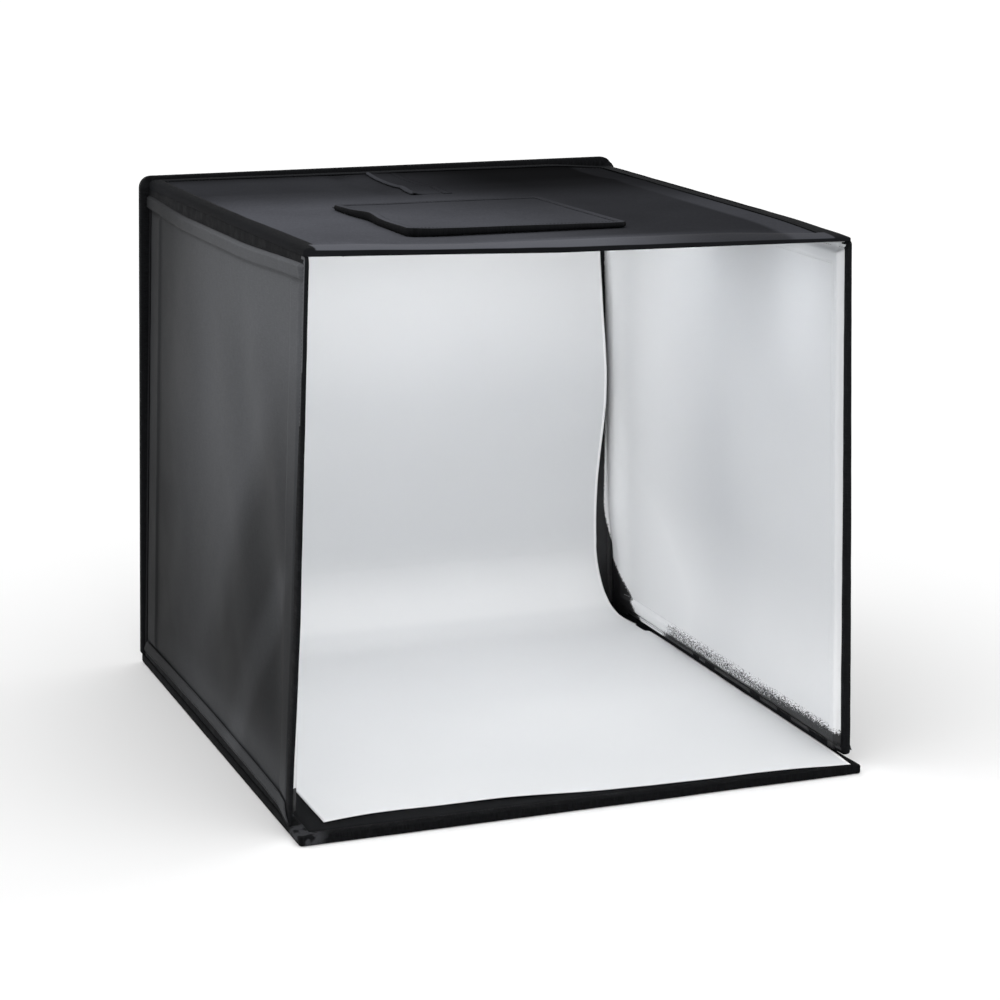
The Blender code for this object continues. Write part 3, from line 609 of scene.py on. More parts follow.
def stripOver(name, node, body, out=upward, paint=hookTape, lift=None, slot=None):
    # a strip of tape or cloth in the room of a flat node, its face turned along out
    low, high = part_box(node)
    size = high - low
    flat = min(range(3), key=lambda i: size[i])
    others = [i for i in range(3) if i != flat]
    along = Vector([1.0 if i == others[0] else 0.0 for i in range(3)])
    middle = (low + high) / 2 + out * size[flat] / 2
    halfU, halfV = size[others[0]] / 2, size[others[1]] / 2

    def surface(u, v):
        u += 0.00025 * ripple(u, v, 60.0, middle.x * 9) * (abs(u) > halfU * 0.98)
        v += 0.00025 * ripple(u, v, 60.0, middle.y * 9) * (abs(v) > halfV * 0.9)
        edge = min(halfU - abs(u), halfV - abs(v))
        return u, v, 0.0002 * (ease(edge, 0.0, 0.002) - 1)
    strip = clothGrid(spread(-halfU, halfU, 0.006), spread(-halfV, halfV, 0.003), surface,
                      panelPlace(middle, along, out.cross(along), out), 0.0015)
    if lift:
        for vert in strip.verts:
            vert.co.z += lift(vert.co.x, vert.co.y)
    return dress(name, strip, [paint], body, node, thickness=size[flat] * 0.9, slot=slot)


base = {"corner": 0.0035, "tapeWidth": 0.014, "tapeHigh": 0.010, "under": 0.0012,
        "floor": 0.0088, "inset": 0.0012, "clothCorner": 0.009, "seamInset": 0.0118}


def makeBase():
    half, front, rear = tent["baseHalf"], tent["baseFront"], tent["baseRear"]
    corners = boxCorners(-half, front, half, rear, base["corner"])
    inset, drawnIn = base["inset"], base["clothCorner"]
    us, vs = spread(inset - half, half - inset, 0.02), spread(front + inset, rear - inset, 0.02)
    under = panel("base_underside", us, vs, lambda u, v: (
        u, v, -base["under"] + 0.0003 * ripple(u, v, 12, 1)), facingDown, plainBlack, "base",
        "base_cover", drawnIn)
    floor = panel("base_floor_cloth_top", us, vs, lambda u, v: (
        u, v, base["floor"] + 0.0002 * ripple(u, v, 14, 2)), facingUp, plainBlack, "base",
        "base_floor_cloth", drawnIn)

    def settle(u, v, w, inset):  # the lip's front edge is a little uneven
        lip = ease(-v, 0.30, 0.33)
        w = max(0.0, w + 0.0004 * ripple(u, v, 16, 5) * (w > 0.004) - 0.0006 * lip * (w > 0.008))
        wave = 0.0009 * lip * ripple(u, 0, 9, 4)
        return u + 0.0028 * lip * ease(u, half - 0.03, half), v + wave, w
    tape = edgeTape("base_edge_tape", "base_binding", "base", corners, base["tapeWidth"], 0.0,
                    base["tapeHigh"], facingUp, [lipTape], settle, seed=6.0)
    row = ringRow(corners, base["seamInset"], base["tapeHigh"] + 0.0001, facingUp, settle)
    seam = stitchRows("base_stitches", "base", [(row, upward, True)])
    size = (2 * half, rear - front)


makeBase()
print("base dressed")

back = {"tapeWidth": 0.014, "tapeHigh": 0.010, "topCorner": 0.014, "footCorner": 0.004,
        "outer": -0.0012, "inner": 0.0088, "inset": 0.0012, "clothCorner": 0.012,
        "rightTop": 0.3005, "leftTop": 0.3095, "leftFoot": 0.3230, "rightRise": 0.0035,
        "leftRise": 0.0010, "stripSize": (0.560, 0.020),
        "folds": ((-0.20, 0.52), (0.16, 0.44), (-0.05, 0.30), (0.22, 0.16), (-0.24, 0.12))}


def makeBack():
    footHalf, topHalf = tent["baseHalf"], tent["backTopHalf"]
    rightTop, leftTop, leftFoot = back["rightTop"], back["leftTop"], back["leftFoot"]
    rightRise, leftRise, inset = back["rightRise"], back["leftRise"], back["inset"]
    height = tent["backTop"] - tent["wallFoot"]
    origin = Vector((0, tent["baseRear"], tent["wallFoot"]))
    inward = panelPlace(origin, Vector((1, 0, 0)), upward, Vector((0, -1, 0)))
    outward = panelPlace(origin, Vector((-1, 0, 0)), upward, Vector((0, 1, 0)))
    corners = [(-leftFoot, 0, back["footCorner"]), (footHalf, 0, back["footCorner"]),
               (rightTop, height + rightRise, back["topCorner"]),
               (-leftTop, height + leftRise, back["topCorner"])]
    folds = [((x, z), (x + 0.16, z - 0.05), 0.05, 0.03, 0.0012) for x, z in back["folds"]]

    def taper(x, v):  # the panel leans a little to its left
        edge = (footHalf + (rightTop - footHalf) * v / height if x > 0 else
                leftFoot + (leftTop - leftFoot) * v / height)
        return x * (edge - inset) / (footHalf - inset)

    def stretch(x, v):
        return v * (1 + (leftRise + (rightRise - leftRise) * (x / footHalf + 1) / 2) / height)

    def outerFace(u, v):
        edge = min(footHalf - abs(u), v, height - v)
        lift = 0.0007 + foldSum(u, v, folds) + 0.0006 * ripple(u, v, 7, 11)
        return -taper(-u, v), stretch(-u, v), back["outer"] + lift * ease(edge, 0.012, 0.06)

    def innerFace(u, v):
        return taper(u, v), stretch(u, v), back["inner"] + 0.0002 * ripple(u, v, 9, 12)

    def tapePart(step, centre):  # silver where the right upright meets the lining
        return 1 if step < 2 and centre.z < 0.57 and centre.x > 0 else 0
    us = spread(inset - footHalf, footHalf - inset, 0.010)
    vs = spread(inset, height - inset, 0.010)
    outer = panel("back_outer_cloth", us, vs, outerFace, outward, rearCloth, "back_panel",
                  "back_cover", back["clothCorner"])
    inner = panel("back_inner_lining", us, vs, innerFace, inward, backLining, "back_panel",
                  "back_lining", back["clothCorner"])
    tape = edgeTape("back_edge_tape", "back_binding", "back_panel", corners, back["tapeWidth"],
                    0.0, back["tapeHigh"], inward, [blackTape, backLining], seed=9.0,
                    faces=tapePart)
    row = ringRow(corners, 0.0120, -0.0001, inward)
    seams = stitchRows("back_stitches", "back_panel", [(row, Vector((0, 1, 0)), True)])
    hooks = stripOver("backdrop_hook_tape", "backdrop_hook_strip", "back_panel",
                      Vector((0, -1, 0)))


makeBack()
print("back panel dressed")

leftFolds = [  # (y, height on the wall), widths, height of the fold
    ((-0.080, 0.430), (-0.205, 0.200), 0.045, 0.060, -0.0042),
    ((-0.205, 0.200), (-0.255, 0.090), 0.055, 0.045, -0.0036),
    ((-0.150, 0.460), (-0.235, 0.330), 0.050, 0.035, 0.0026),
    ((-0.095, 0.280), (-0.150, 0.080), 0.050, 0.055, 0.0026),
    ((0.060, 0.420), (0.020, 0.100), 0.060, 0.070, -0.0022),
    ((0.160, 0.460), (0.150, 0.140), 0.050, 0.060, 0.0018),
]
rightFolds = [
    ((-0.160, 0.420), (-0.060, 0.210), 0.060, 0.080, -0.0026),
    ((0.080, 0.470), (0.120, 0.180), 0.070, 0.070, 0.0024),
    ((-0.200, 0.180), (-0.060, 0.100), 0.050, 0.060, 0.0020),
]


def sleeveBand(distance, low, rise, high, fall):
    return ease(distance, low, low + rise) * (1 - ease(distance, high, high + fall))


def makeWall(side, sign, folds):
    body = side + "_wall"
    outward = Vector((sign * math.cos(lean), 0, math.sin(lean)))
    up = Vector((-sign * math.sin(lean), 0, math.cos(lean)))
    along = Vector((0, sign, 0))
    origin = Vector((sign * tent["footHalf"], 0, tent["wallFoot"]))
    outPlace = panelPlace(origin, along, up, outward)
    inPlace = panelPlace(origin, -along, up, -outward)
    front, rear, height = tent["wallFront"], tent["wallRear"], wallHeight
    ends = sorted((sign * front, sign * rear))
    corners = boxCorners(ends[0], 0, ends[1], height, wall["corner"])
    inset, crestStart = wall["inset"], wall["sleeveStart"] + wall["sleeveRise"]
    raised = 1.0 if sign < 0 else 0.07

    def topRise(y):
        share = (rear - y) / (rear - front)
        return raised * (wall["rearRaise"] + (wall["frontRaise"] - wall["rearRaise"]) * share)

    def sag(y):  # the dark edge under the rim hangs in the middle
        return wall["sag"] * ease(y, 0.33, 0.15) * ease(y, -0.31, -0.06) * (sign < 0)

    def push(y, v):  # the front edge stands out a little
        return between(wall[side + "Push"], v) * (1 - ease(y - front, 0.0, 0.055))

    def swell(y, v):  # and grows thicker towards its foot
        return between(wall[side + "Swell"], v) * (1 - ease(y - front, 0.004, 0.045))

    def field(y, v):
        edge = min(y - front, rear - y, height - v)
        fade = ease(edge, 0.026, 0.090) * ease(v, 0.022, 0.090)
        return fade * (foldSum(y, v, folds) + 0.0010 * ripple(y, v, 5.5, 21 + sign))

    def outerFace(u, v):
        y = sign * u
        ahead, behind, below = y - front, rear - y, height - v
        top = sleeveBand(below - sag(y), 0.0085, 0.0026, 0.0235, 0.0016)
        top *= ease(ahead + 0.6 * (below - 0.012), 0.011, 0.014)
        upright = max(sleeveBand(ahead, 0.0125, 0.004, 0.044, 0.006),
                      sleeveBand(behind, 0.0150, 0.004, 0.052, 0.007))
        upright *= ease(below, 0.026, 0.034) * ease(v, 0.020, 0.030)
        lift = max(wall["bandEmboss"] * top, wall["outerEmboss"] * upright)
        lift += 0.0003 * ripple(y, v, 30, 31)
        rise = topRise(y) * ease(v, height - 0.16, height - 0.03)
        return u, v + rise, wall["skin"] + lift + field(y, v) + push(y, v) + swell(y, v)

    def innerFace(u, v):
        y = -sign * u
        nearest = min(y - front, height - v, v, rear - y if sign < 0 else 1.0)
        bulge = sleeveBand(nearest, wall["sleeveStart"], wall["sleeveRise"],
                           crestStart + wall["sleeveCrest"], 0.0028)
        if sign > 0:  # the right rear sleeve is drawn smooth
            bulge = max(bulge, ease(rear - y, 0.0, 0.006) * (1 - ease(rear - y, 0.022, 0.060)))
            bulge *= 1 + 1.4 * ease(rear - y, 0.045, 0.012) * ease(v, 0.07, 0.15)
        rise = topRise(y) * ease(v, height - wall["sleeveStart"], height)
        lift = wall["lining"] + wall["sleeveDepth"] * bulge - field(y, v)
        lift -= push(y, v) * max(0.0, 1 - bulge) * (y - front < 0.02)
        crumple = 0.0006 * ripple(y, v, 60, 41) * ease(v, 0.022, 0.004)
        return u, v + rise, lift + crumple

    def tapeWarp(u, v, w, inset):
        y = sign * u
        outer = (w - wall["tapeLow"]) / (wall["tapeHigh"] - wall["tapeLow"])
        outside, legShare = outer > 0.5, inset / wall["tapeWidth"]
        share = 1.0 if outside else ease(v, height - wall["sleeveStart"], height)
        w += push(y, v) + swell(y, v) * clamp(outer)
        onLeg = outside and inset > 0.003
        hang = sag(y) * ease(v, height - 0.012, height - 0.008) * onLeg
        v += topRise(y) * share * ease(v, height - 0.02, height - 0.009) - hang * legShare
        if onLeg and y < front + 0.02:  # the front leg widens downwards
            u += sign * legShare * (0.005 * ease(v, 0.44, 0.25) - 0.002 * ease(v, 0.40, 0.5))
        return u, v, w
    us = spread(ends[0] + inset, ends[1] - inset, 0.009, 0.0022, 0.058)
    vs = spread(inset, height - inset, 0.009, 0.0018, 0.034)
    skin = panel(body + "_outer_cloth", us, vs, outerFace, outPlace, outerCloth, body,
                 body + "_skin", wall["clothCorner"])
    us = spread(inset - ends[1], -ends[0] - inset, 0.009, 0.0020, 0.030)
    vs = spread(inset, height - inset, 0.009, 0.0020, 0.030)
    lining = panel(body + "_inner_lining", us, vs, innerFace, inPlace, wallLining, body,
                   body + "_lining", wall["clothCorner"])

    def tapePart(step, centre):  # the tape's legs take on the cloth they lie on
        onFront = centre.y < front + 0.010
        if step < 3 and onFront and centre.z > 0.37 + 0.055 * step:
            return 1
        if step > 7 and (centre.z < 0.0165 or (centre.z > 0.55 and centre.y > rear - 0.02)):
            return 0
        return 2 if step > 7 and not onFront else 0
    tapePaints = [blackTape, outerCloth, wallLining]
    tape = edgeTape(body + "_edge_tape", body + "_binding", body, corners, wall["tapeWidth"],
                    wall["tapeLow"], wall["tapeHigh"], outPlace, tapePaints, tapeWarp,
                    seed=13.0 + sign, faces=tapePart)

    def hemFoot(y):
        return between(((front, 0.0055), (-0.18, 0.0090), (0.02, 0.0108), (0.20, 0.0090),
                        (rear, 0.0070)), y)

    def hemFace(u, v):
        share = v / wall["hemHeight"]
        half, middle = (ends[1] - ends[0]) / 2, (ends[1] + ends[0]) / 2
        u = middle + (u - middle) * (half - wall["hemMitre"] * share) / half
        puff = 0.0007 * math.sin(math.pi * share) + 0.0003 * ripple(u, v, 26, 51)
        v = hemFoot(sign * u) + wall["hemLaid"] * share
        return u, v, puff + push(sign * u, v) + swell(sign * u, v)
    hem = panel(body + "_foot_hem", spread(*ends, 0.008), spread(0, wall["hemHeight"], 0.0025),
                hemFace, outPlace, outerCloth, body, body + "_hem")
    stripLow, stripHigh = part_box(body + "_loop_strip")
    stripEnds = sorted((-sign * stripLow.y, -sign * stripHigh.y))
    stripTop = height - crestStart - (wall["sleeveCrest"] - 0.009) / 2
    loops = panel(body + "_loop_tape", spread(*stripEnds, 0.007),
                  spread(stripTop - 0.009, stripTop, 0.003),
                  lambda u, v: (u, v, 0.0098 + 0.0001 * ripple(u, v, 50, 3)), inPlace, hookTape,
                  body, body + "_loop_strip", 0.0012, thickness=wall["stripCloth"])
    hemRows = []
    for short, high, out in ((wall["hemMitre"], 0.0142, 0.0003), (0.006, 0.0022, 0.0006)):
        run = ends[1] - ends[0] - 2 * short
        steps = [ends[0] + short + run * i / 60 for i in range(61)]
        hemRows.append(([outPlace @ Vector((u, hemFoot(sign * u) + high, out)) for u in steps],
                        outward, False))
    hemSeam = stitchRows(body + "_hem_stitches", body, hemRows, darkThread, 0.0042, 0.0005, 0.0060)

    def onLining(u, v, w, inset):
        face = innerFace(-u, v)
        return u, face[1], -face[2]
    liningRing = ringRow(corners, 0.0276, 0, outPlace, onLining)
    if sign > 0:
        liningRing = openRow(liningRing, lambda p: p.y < rear - 0.035)
    liningSeam = stitchRows(body + "_lining_stitches", body, [(liningRing, -outward, sign < 0)],
                            greyThread, 0.0034, 0.0004)
    tapeSeam = stitchRows(body + "_tape_stitches", body, bothLegs(
        corners, 0.0076, wall["tapeLow"], wall["tapeHigh"], outPlace, tapeWarp, outward))


makeWall("left", -1, leftFolds)
makeWall("right", 1, rightFolds)
print("walls dressed")

backdrop = {
    "top": 0.576, "rear": 0.3238, "floor": 0.0099, "bend": 0.085, "left": 0.285, "front": 0.310,
    "hangEdge": ((0.0099, 0.3110), (0.0107, 0.3078), (0.015, 0.2990), (0.0251, 0.2937),
                 (0.0411, 0.2911), (0.0623, 0.2895), (0.0908, 0.2874), (0.1251, 0.2854),
                 (0.1596, 0.2842), (0.1942, 0.2837), (0.2286, 0.2845), (0.2626, 0.2861),
                 (0.2962, 0.2874), (0.3358, 0.2867), (0.3747, 0.2845), (0.413, 0.2827),
                 (0.4885, 0.2818), (0.58, 0.2815)),
    "runEdge": ((-0.334, 0.3135), (-0.25, 0.3145), (0.10, 0.3145), (0.2186, 0.3135),
                (0.2388, 0.3110)),
    "frontEdge": ((-0.2835, -0.3020), (-0.2662, -0.2990), (-0.232, -0.2945), (-0.1986, -0.2932),
                  (-0.144, -0.2957), (-0.0887, -0.2990), (-0.0342, -0.3050), (0.0206, -0.3117),
                  (0.0768, -0.3168), (0.1356, -0.3184), (0.1953, -0.3200), (0.3135, -0.3290)),
    "thickness": 0.0008, "cell": 0.008, "width": 0.5995, "meanWidth": 0.583, "hungEnd": 0.019,
    "chartWidth": 0.58,
}


def makeBackdrop():
    top, rearFace, floor, bend = (backdrop[key] for key in ("top", "rear", "floor", "bend"))
    hang = top - floor - bend
    arc = bend * math.pi / 2
    bendFront = rearFace - bend
    run = bendFront + backdrop["front"]

    def surface(across, along):  # across 0..1 from left to right, along in metres
        side = 2 * across - 1
        if along < hang:
            share = along / hang
            z = top - along
            deep = 0.014 + 0.010 * ease(side, -0.2, 1.0)
            y = rearFace - deep * math.sin(math.pi * share) ** 2
            y -= 0.0016 * (1 + ripple(across * 3, z * 2, 1.3, 61)) * ease(share, 0.0, 0.2)
        elif along < hang + arc:
            turn = (along - hang) / bend
            y = bendFront + bend * math.cos(turn)
            z = floor + bend - bend * math.sin(turn)
        else:
            share = (along - hang - arc) / run
            front = between(backdrop["frontEdge"], backdrop["left"] * (2.1 * across - 1))
            y = bendFront + (front - bendFront) * share
            wave = 1 + ripple(across * 4, share * 5, 1.0, 62)
            z = floor + 0.0007 * wave * ease(share, 0.02, 0.1)
            z += 0.0004 * (1 + math.sin(across * 23)) * ease(share, 0.93, 1.0)
            z -= 0.0010 * ease(across, 0.90, 1.0) * ease(share, 0.93, 1.0)
        onRun = along >= hang + arc
        edge = between(backdrop["runEdge"], y) if onRun else between(backdrop["hangEdge"], z)
        return (backdrop["left"] + edge) * across - backdrop["left"], y, z
    total = hang + arc + run
    us = spread(0, 1, 0.019, 0.004, 0.02)
    vs = spread(0, total, backdrop["cell"], 0.004, 0.02, marks=(hang, hang + arc))
    sheet = clothGrid(us, vs, surface)
    chart = sheet.loops.layers.uv.active
    for face in sheet.faces:
        for loop in face.loops:
            loop[chart].uv.x *= backdrop["chartWidth"]
    sheet.normal_update()
    if sum(face.normal.z for face in sheet.faces) < 0:
        bmesh.ops.reverse_faces(sheet, faces=sheet.faces[:])
    sheet = dress("backdrop_cloth", sheet, [whiteSheet], "backdrop", "backdrop_sheet",
                  thickness=backdrop["thickness"])
    loops = stripOver("backdrop_loop_tape", "backdrop_loop_strip", "backdrop", Vector((0, -1, 0)))
    total + backdrop["hungEnd"]
    backdrop["meanWidth"] * total


makeBackdrop()
print("backdrop hung")

topPanel = {
    "front": ((-0.300, 0.0070), (-0.166, 0.0012), (-0.030, -0.0030), (0.130, -0.0060),
              (0.299, -0.0090)),
    "footFront": ((-0.300, 0.600), (-0.030, 0.591), (0.299, 0.587)),
    "footRearLeft": 0.590, "footRearRight": 0.586, "corner": 0.005, "hoop": 0.0018,
    "rightFall": 0.0045, "leftLeg": 0.0125, "rimCloth": 0.0008, "edge": 0.009,
    "window": (-0.136, -0.190, 0.040, -0.026, 0.008), "frameWidth": 0.026, "frameCorner": 0.034,
    "slit": (-0.034, 0.106, -0.014, 0.290, 0.004), "skin": 0.59875, "lining": 0.59685,
    # the rim: leg on top, rounded shoulder, drop, upturned channel. Share is of its own drop
    "profile": ((0.0252, 0.02), (0.0244, -0.02), (0.0160, -0.04), (0.0100, -0.02), (0.0065, 0.02),
                (0.0030, 0.13), (0.0009, 0.33), (0.0, 0.57), (0.0, 0.85), (0.0, 1.16),
                (0.0006, 1.20), (0.0011, 1.0), (0.0070, 1.0), (0.0074, 0.92), (0.0074, 0.56)),
    "creases": (((-0.262, -0.262), (-0.246, -0.272), 0.004, 0.005, -0.0016),
                ((-0.256, -0.256), (-0.238, -0.264), 0.004, 0.005, 0.0010),
                ((-0.214, -0.240), (-0.190, -0.262), 0.005, 0.006, -0.0014),
                ((-0.206, -0.232), (-0.182, -0.252), 0.005, 0.006, 0.0010)),
}


def fromRear(y):  # 0 at the walls' rear edge, 1 at their front edge
    return clamp((tent["wallRear"] - y) / (tent["wallRear"] - tent["wallFront"]))


def leftLift(x, y):
    lift = 0.007 * (1 - ease(x, -0.300, -0.105)) * fromRear(y) ** 1.3
    return lift - topPanel["rightFall"] * ease(x, 0.200, 0.295)


def topRaise(x, y):  # how far the top stands above or below its own level
    roll = between(topPanel["front"], x) - leftLift(x, tent["wallFront"])
    start = -0.250 + 0.10 * ease(x, 0.15, 0.295)
    return leftLift(x, y) + roll * clamp((start - y) / (start - tent["wallFront"])) ** 2


def rimFoot(x, y):
    left, right = topPanel["footRearLeft"], topPanel["footRearRight"]
    rearFoot = left + (right - left) * clamp((x / tent["topHalf"] + 1) / 2)
    return rearFoot + (between(topPanel["footFront"], x) - rearFoot) * fromRear(y)


def topField(x, y):  # creases, the dip beside the placket, and soft sag
    edge = min(tent["topHalf"] - abs(x), y - tent["wallFront"], tent["wallRear"] - y)
    crease = y - 0.150 - 0.05 * x
    height = 0.0013 * bell(crease, 0.012) + foldSum(x, y, topPanel["creases"])
    height -= 0.0022 * ease(crease, 0.0, 0.07) * (1 - ease(crease, 0.10, 0.16))
    height -= 0.0026 * bell(x + 0.066 + 0.05 * (y - 0.12), 0.013) * ease(y, 0.105, 0.135)
    height += 0.0010 * bell(x - 0.262, 0.010) * ease(y, 0.10, -0.05)
    height += 0.0006 * ripple(x, y, 7, 71) * ease(y, -0.02, 0.10)
    return height * ease(edge, 0.022, 0.034)


def makeTop():
    body, half, front, rear = "top_panel", tent["topHalf"], tent["wallFront"], tent["wallRear"]
    corners = boxCorners(-half, front, half, rear, topPanel["corner"])
    window, slit, skin = topPanel["window"], topPanel["slit"], topPanel["skin"]
    grow, under = topPanel["frameWidth"], topPanel["lining"]
    opening = (window[0] - grow, window[1] - grow, window[2] + grow, window[3] + grow,
               topPanel["frameCorner"])
    margin = topPanel["edge"]
    side, ahead, behind = half - margin, front + margin, rear - margin

    def raiseHere(x, y):
        return topRaise(x, y) + topField(x, y)

    def lowerHere(x, y):  # the bands dip with the front roll
        return min(topRaise(x, y), 0.0) * ease(-y, 0.248, 0.272)
    us = spread(-side, side, 0.0045, marks=(opening[0], opening[2], slit[0], slit[2]))
    vs = spread(ahead, behind, 0.007, 0.0035, 0.08,
                marks=(opening[1], opening[3], slit[1], slit[3]))
    field = panel("top_field_cloth", us, vs, lambda u, v: (u, v, skin + raiseHere(u, v)),
                  facingUp, topCloth, body, "top_skin", holes=(opening, slit))
    us = spread(opening[0] + 0.0003, opening[2] - 0.0003, 0.006, marks=(window[0], window[2]))
    vs = spread(opening[1] + 0.0003, opening[3] - 0.0003, 0.006, marks=(window[1], window[3]))
    surround = panel("window_surround", us, vs, lambda u, v: (
        u, v, skin + 0.0001 + raiseHere(u, v)), facingUp, flapCloth, body, "window_frame",
        topPanel["frameCorner"], (window,))
    us = spread(-side, side, 0.010, marks=(window[0], window[2], slit[0], slit[2]))
    vs = spread(-behind, -ahead, 0.010, 0.005, 0.05,
                marks=(-window[3], -window[1], -slit[3], -slit[1]))
    turned = [(box[0], -box[3], box[2], -box[1], box[4]) for box in (window, slit)]
    lining = panel("top_inner_lining", us, vs, lambda u, v: (
        u, v, -(under + topRaise(u, -v) + min(topField(u, -v), 0))), facingDown, silverCloth,
        body, "top_lining", holes=turned)

    fullLeg, shoulder = topPanel["profile"][0][0], topPanel["profile"][4][0]

    def rimWarp(u, v, share, inset):
        onLeft = ease(-u, 0.262, 0.272) * ease(v, -0.300, -0.290)
        if inset > shoulder and onLeft:  # the dark leg is narrower on the left
            leg = topPanel["leftLeg"] + 0.0055 * ease(-v, 0.0, 0.28)
            u -= (inset - shoulder) * (fullLeg - leg) / (fullLeg - shoulder) * onLeft
        u += 0.0036 * ease(u, 0.270, 0.300) * ease(-v, 0.240, 0.300)
        top = tent["level"] + topRaise(u, v)
        puff = 0.0003 * ripple(u, v, 24, 81) * (share < 0.5)
        return u, v, top - share * (top - rimFoot(u, v)) + puff

    def hoopWarp(u, v, w, inset):
        return u, v, w + min(rimFoot(u, v) + 0.0031, tent["level"] + topRaise(u, v) - 0.0046)
    rim = dress("top_rim_cloth", sweptBand(corners, topPanel["profile"], facingUp, rimWarp),
                [rimCloth], body, "top_rim", thickness=topPanel["rimCloth"])
    turns = [math.pi * 2 * i / 10 for i in range(10)] + [0.0]
    hoopCircle = [(0.0042 + topPanel["hoop"] * math.cos(a), topPanel["hoop"] * math.sin(a))
                  for a in turns]
    dress("top_hoop", sweptBand(corners, hoopCircle, facingUp, hoopWarp, cell=0.02, closed=True),
          [springSteel], body, "top_wire")

    def onTop(u, v, w, inset):
        return u, v, w + raiseHere(u, v)

    def onLining(u, v, w, inset):
        return u, v, w + topRaise(u, v)
    rows = [(ringRow(boxCorners(*box), inset, skin + 0.0002, facingUp, onTop), upward, True)
            for box, inset in ((opening, 0.003), (window, -0.005))]
    rows.append((openRow(ringRow(corners, 0.0225, -0.02, facingUp, rimWarp), lambda p: (
        p.y < rear - 0.03 and not (p.y < front + 0.03 and p.x > 0.03 - half))), upward, False))
    seams = stitchRows("top_stitches", body, rows)
    row = ringRow(boxCorners(*window), -0.005, under - 0.0001, facingUp, onLining)
    liningSeam = stitchRows("top_lining_stitches", body, [(row, -upward, True)], greyThread)
    strips = (("left_light_band", "left_light_band_tape", -upward, hookTape, lowerHere),
              ("right_light_band", "right_light_band_tape", -upward, hookTape, lowerHere),
              ("window_left_loop", "window_left_loop_tape", upward, hookTape, raiseHere),
              ("window_right_loop", "window_right_loop_tape", upward, hookTape, raiseHere),
              ("window_flap_hinge_tape", "window_hinge_cloth", upward, flapCloth, raiseHere),
              ("cable_flap_hinge_tape", "placket_hinge_cloth", upward, topCloth, raiseHere))
    for node, name, out, paint, lift in strips:
        slot = "hook_tape" if paint is hookTape else "black_tape"
        strip = stripOver(name, node, body, out, paint, lift, slot)
        low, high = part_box(node)
    for side, out in (("left", Vector((-1, 0, 0))), ("right", Vector((1, 0, 0)))):
        tab = stripOver(side + "_tab_cloth", side + "_fastening_tab", body, out, plainBlack)
        hooks = stripOver(side + "_tab_hook_tape", side + "_tab_hook_strip", body, out)
        low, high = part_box(side + "_fastening_tab")


makeTop()
print("top dressed")

flap = {"left": -0.168, "right": 0.072, "front": -0.222, "rear": 0.006, "corner": 0.010,
        "inset": 0.0009, "coverCloth": 0.0009, "tapeCloth": 0.0006, "clothCorner": 0.0095,
        "tapeWidth": 0.010, "cover": 0.60365, "lining": 0.60165, "low": 0.60075, "high": 0.60455,
        "size": (0.240, 0.228), "patchSize": (0.024, 0.0214),
        "leftCurl": ((-0.222, 0.0048), (-0.155, 0.0030), (-0.094, 0.0048), (-0.050, 0.0024),
                     (0.006, 0.0006)),
        "frontCurl": ((-0.168, 0.0048), (-0.140, 0.0036), (-0.105, 0.0025), (0.072, 0.0006))}


def flapLift(x, y):  # the free edges curl up off the top
    left = between(flap["leftCurl"], y) * (1 - ease(x, flap["left"], -0.095))
    ahead = between(flap["frontCurl"], x) * (1 - ease(y, flap["front"], -0.165))
    return max(left, ahead) + 0.0004 * bell(x + 0.05, 0.07)


def makeFlap():
    left, front, right, rear = (flap[key] for key in ("left", "front", "right", "rear"))
    corners = boxCorners(left, front, right, rear, flap["corner"])
    body, inset, drawnIn = "window_flap", flap["inset"], flap["clothCorner"]

    def sway(x, y):  # it lies askew, and its left edge wanders
        ahead = ease(y, 0.020, -0.235)
        shift = 0.004 * bell(y + 0.094, 0.028) - 0.0055 + 0.009 * ahead
        return x + shift * (1 - ease(x, left, -0.08)) + 0.0105 * ahead * ease(x, -0.08, right)
    us, vs = spread(left + inset, right - inset, 0.006), spread(front + inset, rear - inset, 0.006)
    cover = panel("flap_cover_cloth", us, vs, lambda u, v: (
        sway(u, v), v, flap["cover"] + flapLift(u, v) + 0.0004 * ripple(u, v, 14, 91)), facingUp,
        flapCloth, body, "window_flap_cover", drawnIn, thickness=flap["coverCloth"])
    lining = panel("flap_inner_lining", us, [-v for v in reversed(vs)], lambda u, v: (
        sway(u, -v), v, -(flap["lining"] + flapLift(u, -v))), facingDown, silverCloth, body,
        "window_flap_lining", drawnIn)

    def follow(u, v, w, inset):  # the fold is deep enough to reach down to the top
        upper = clamp((w - flap["low"]) / (flap["high"] - flap["low"]))
        return sway(u, v), v, w + flapLift(u, v) * upper - 0.0009 * (1 - upper)
    tape = edgeTape("flap_edge_tape", "window_flap_binding", body, corners, flap["tapeWidth"],
                    flap["low"], flap["high"], facingUp, [blackTape, flapCloth], follow,
                    thickness=flap["tapeCloth"], seed=17.0,
                    faces=lambda step, centre: 1 if step < 3 else 0)
    seams = stitchRows("flap_stitches", body, bothLegs(
        corners, 0.0085, flap["low"], flap["high"], facingUp, follow, upward))
    for side in ("left", "right"):
        hooks = stripOver("flap_" + side + "_hook_tape", "window_flap_" + side + "_hook", body,
                          -upward, lift=flapLift)


placket = {"hinge": -0.008, "front": 0.100, "rear": 0.296, "level": 0.60065, "cloth": 0.0014,
           "hem": (-0.040, -0.0394, -0.0388, -0.0382, -0.0372, -0.0358, -0.0340, -0.0320),
           "size": (0.036, 0.196), "tacks": 4}


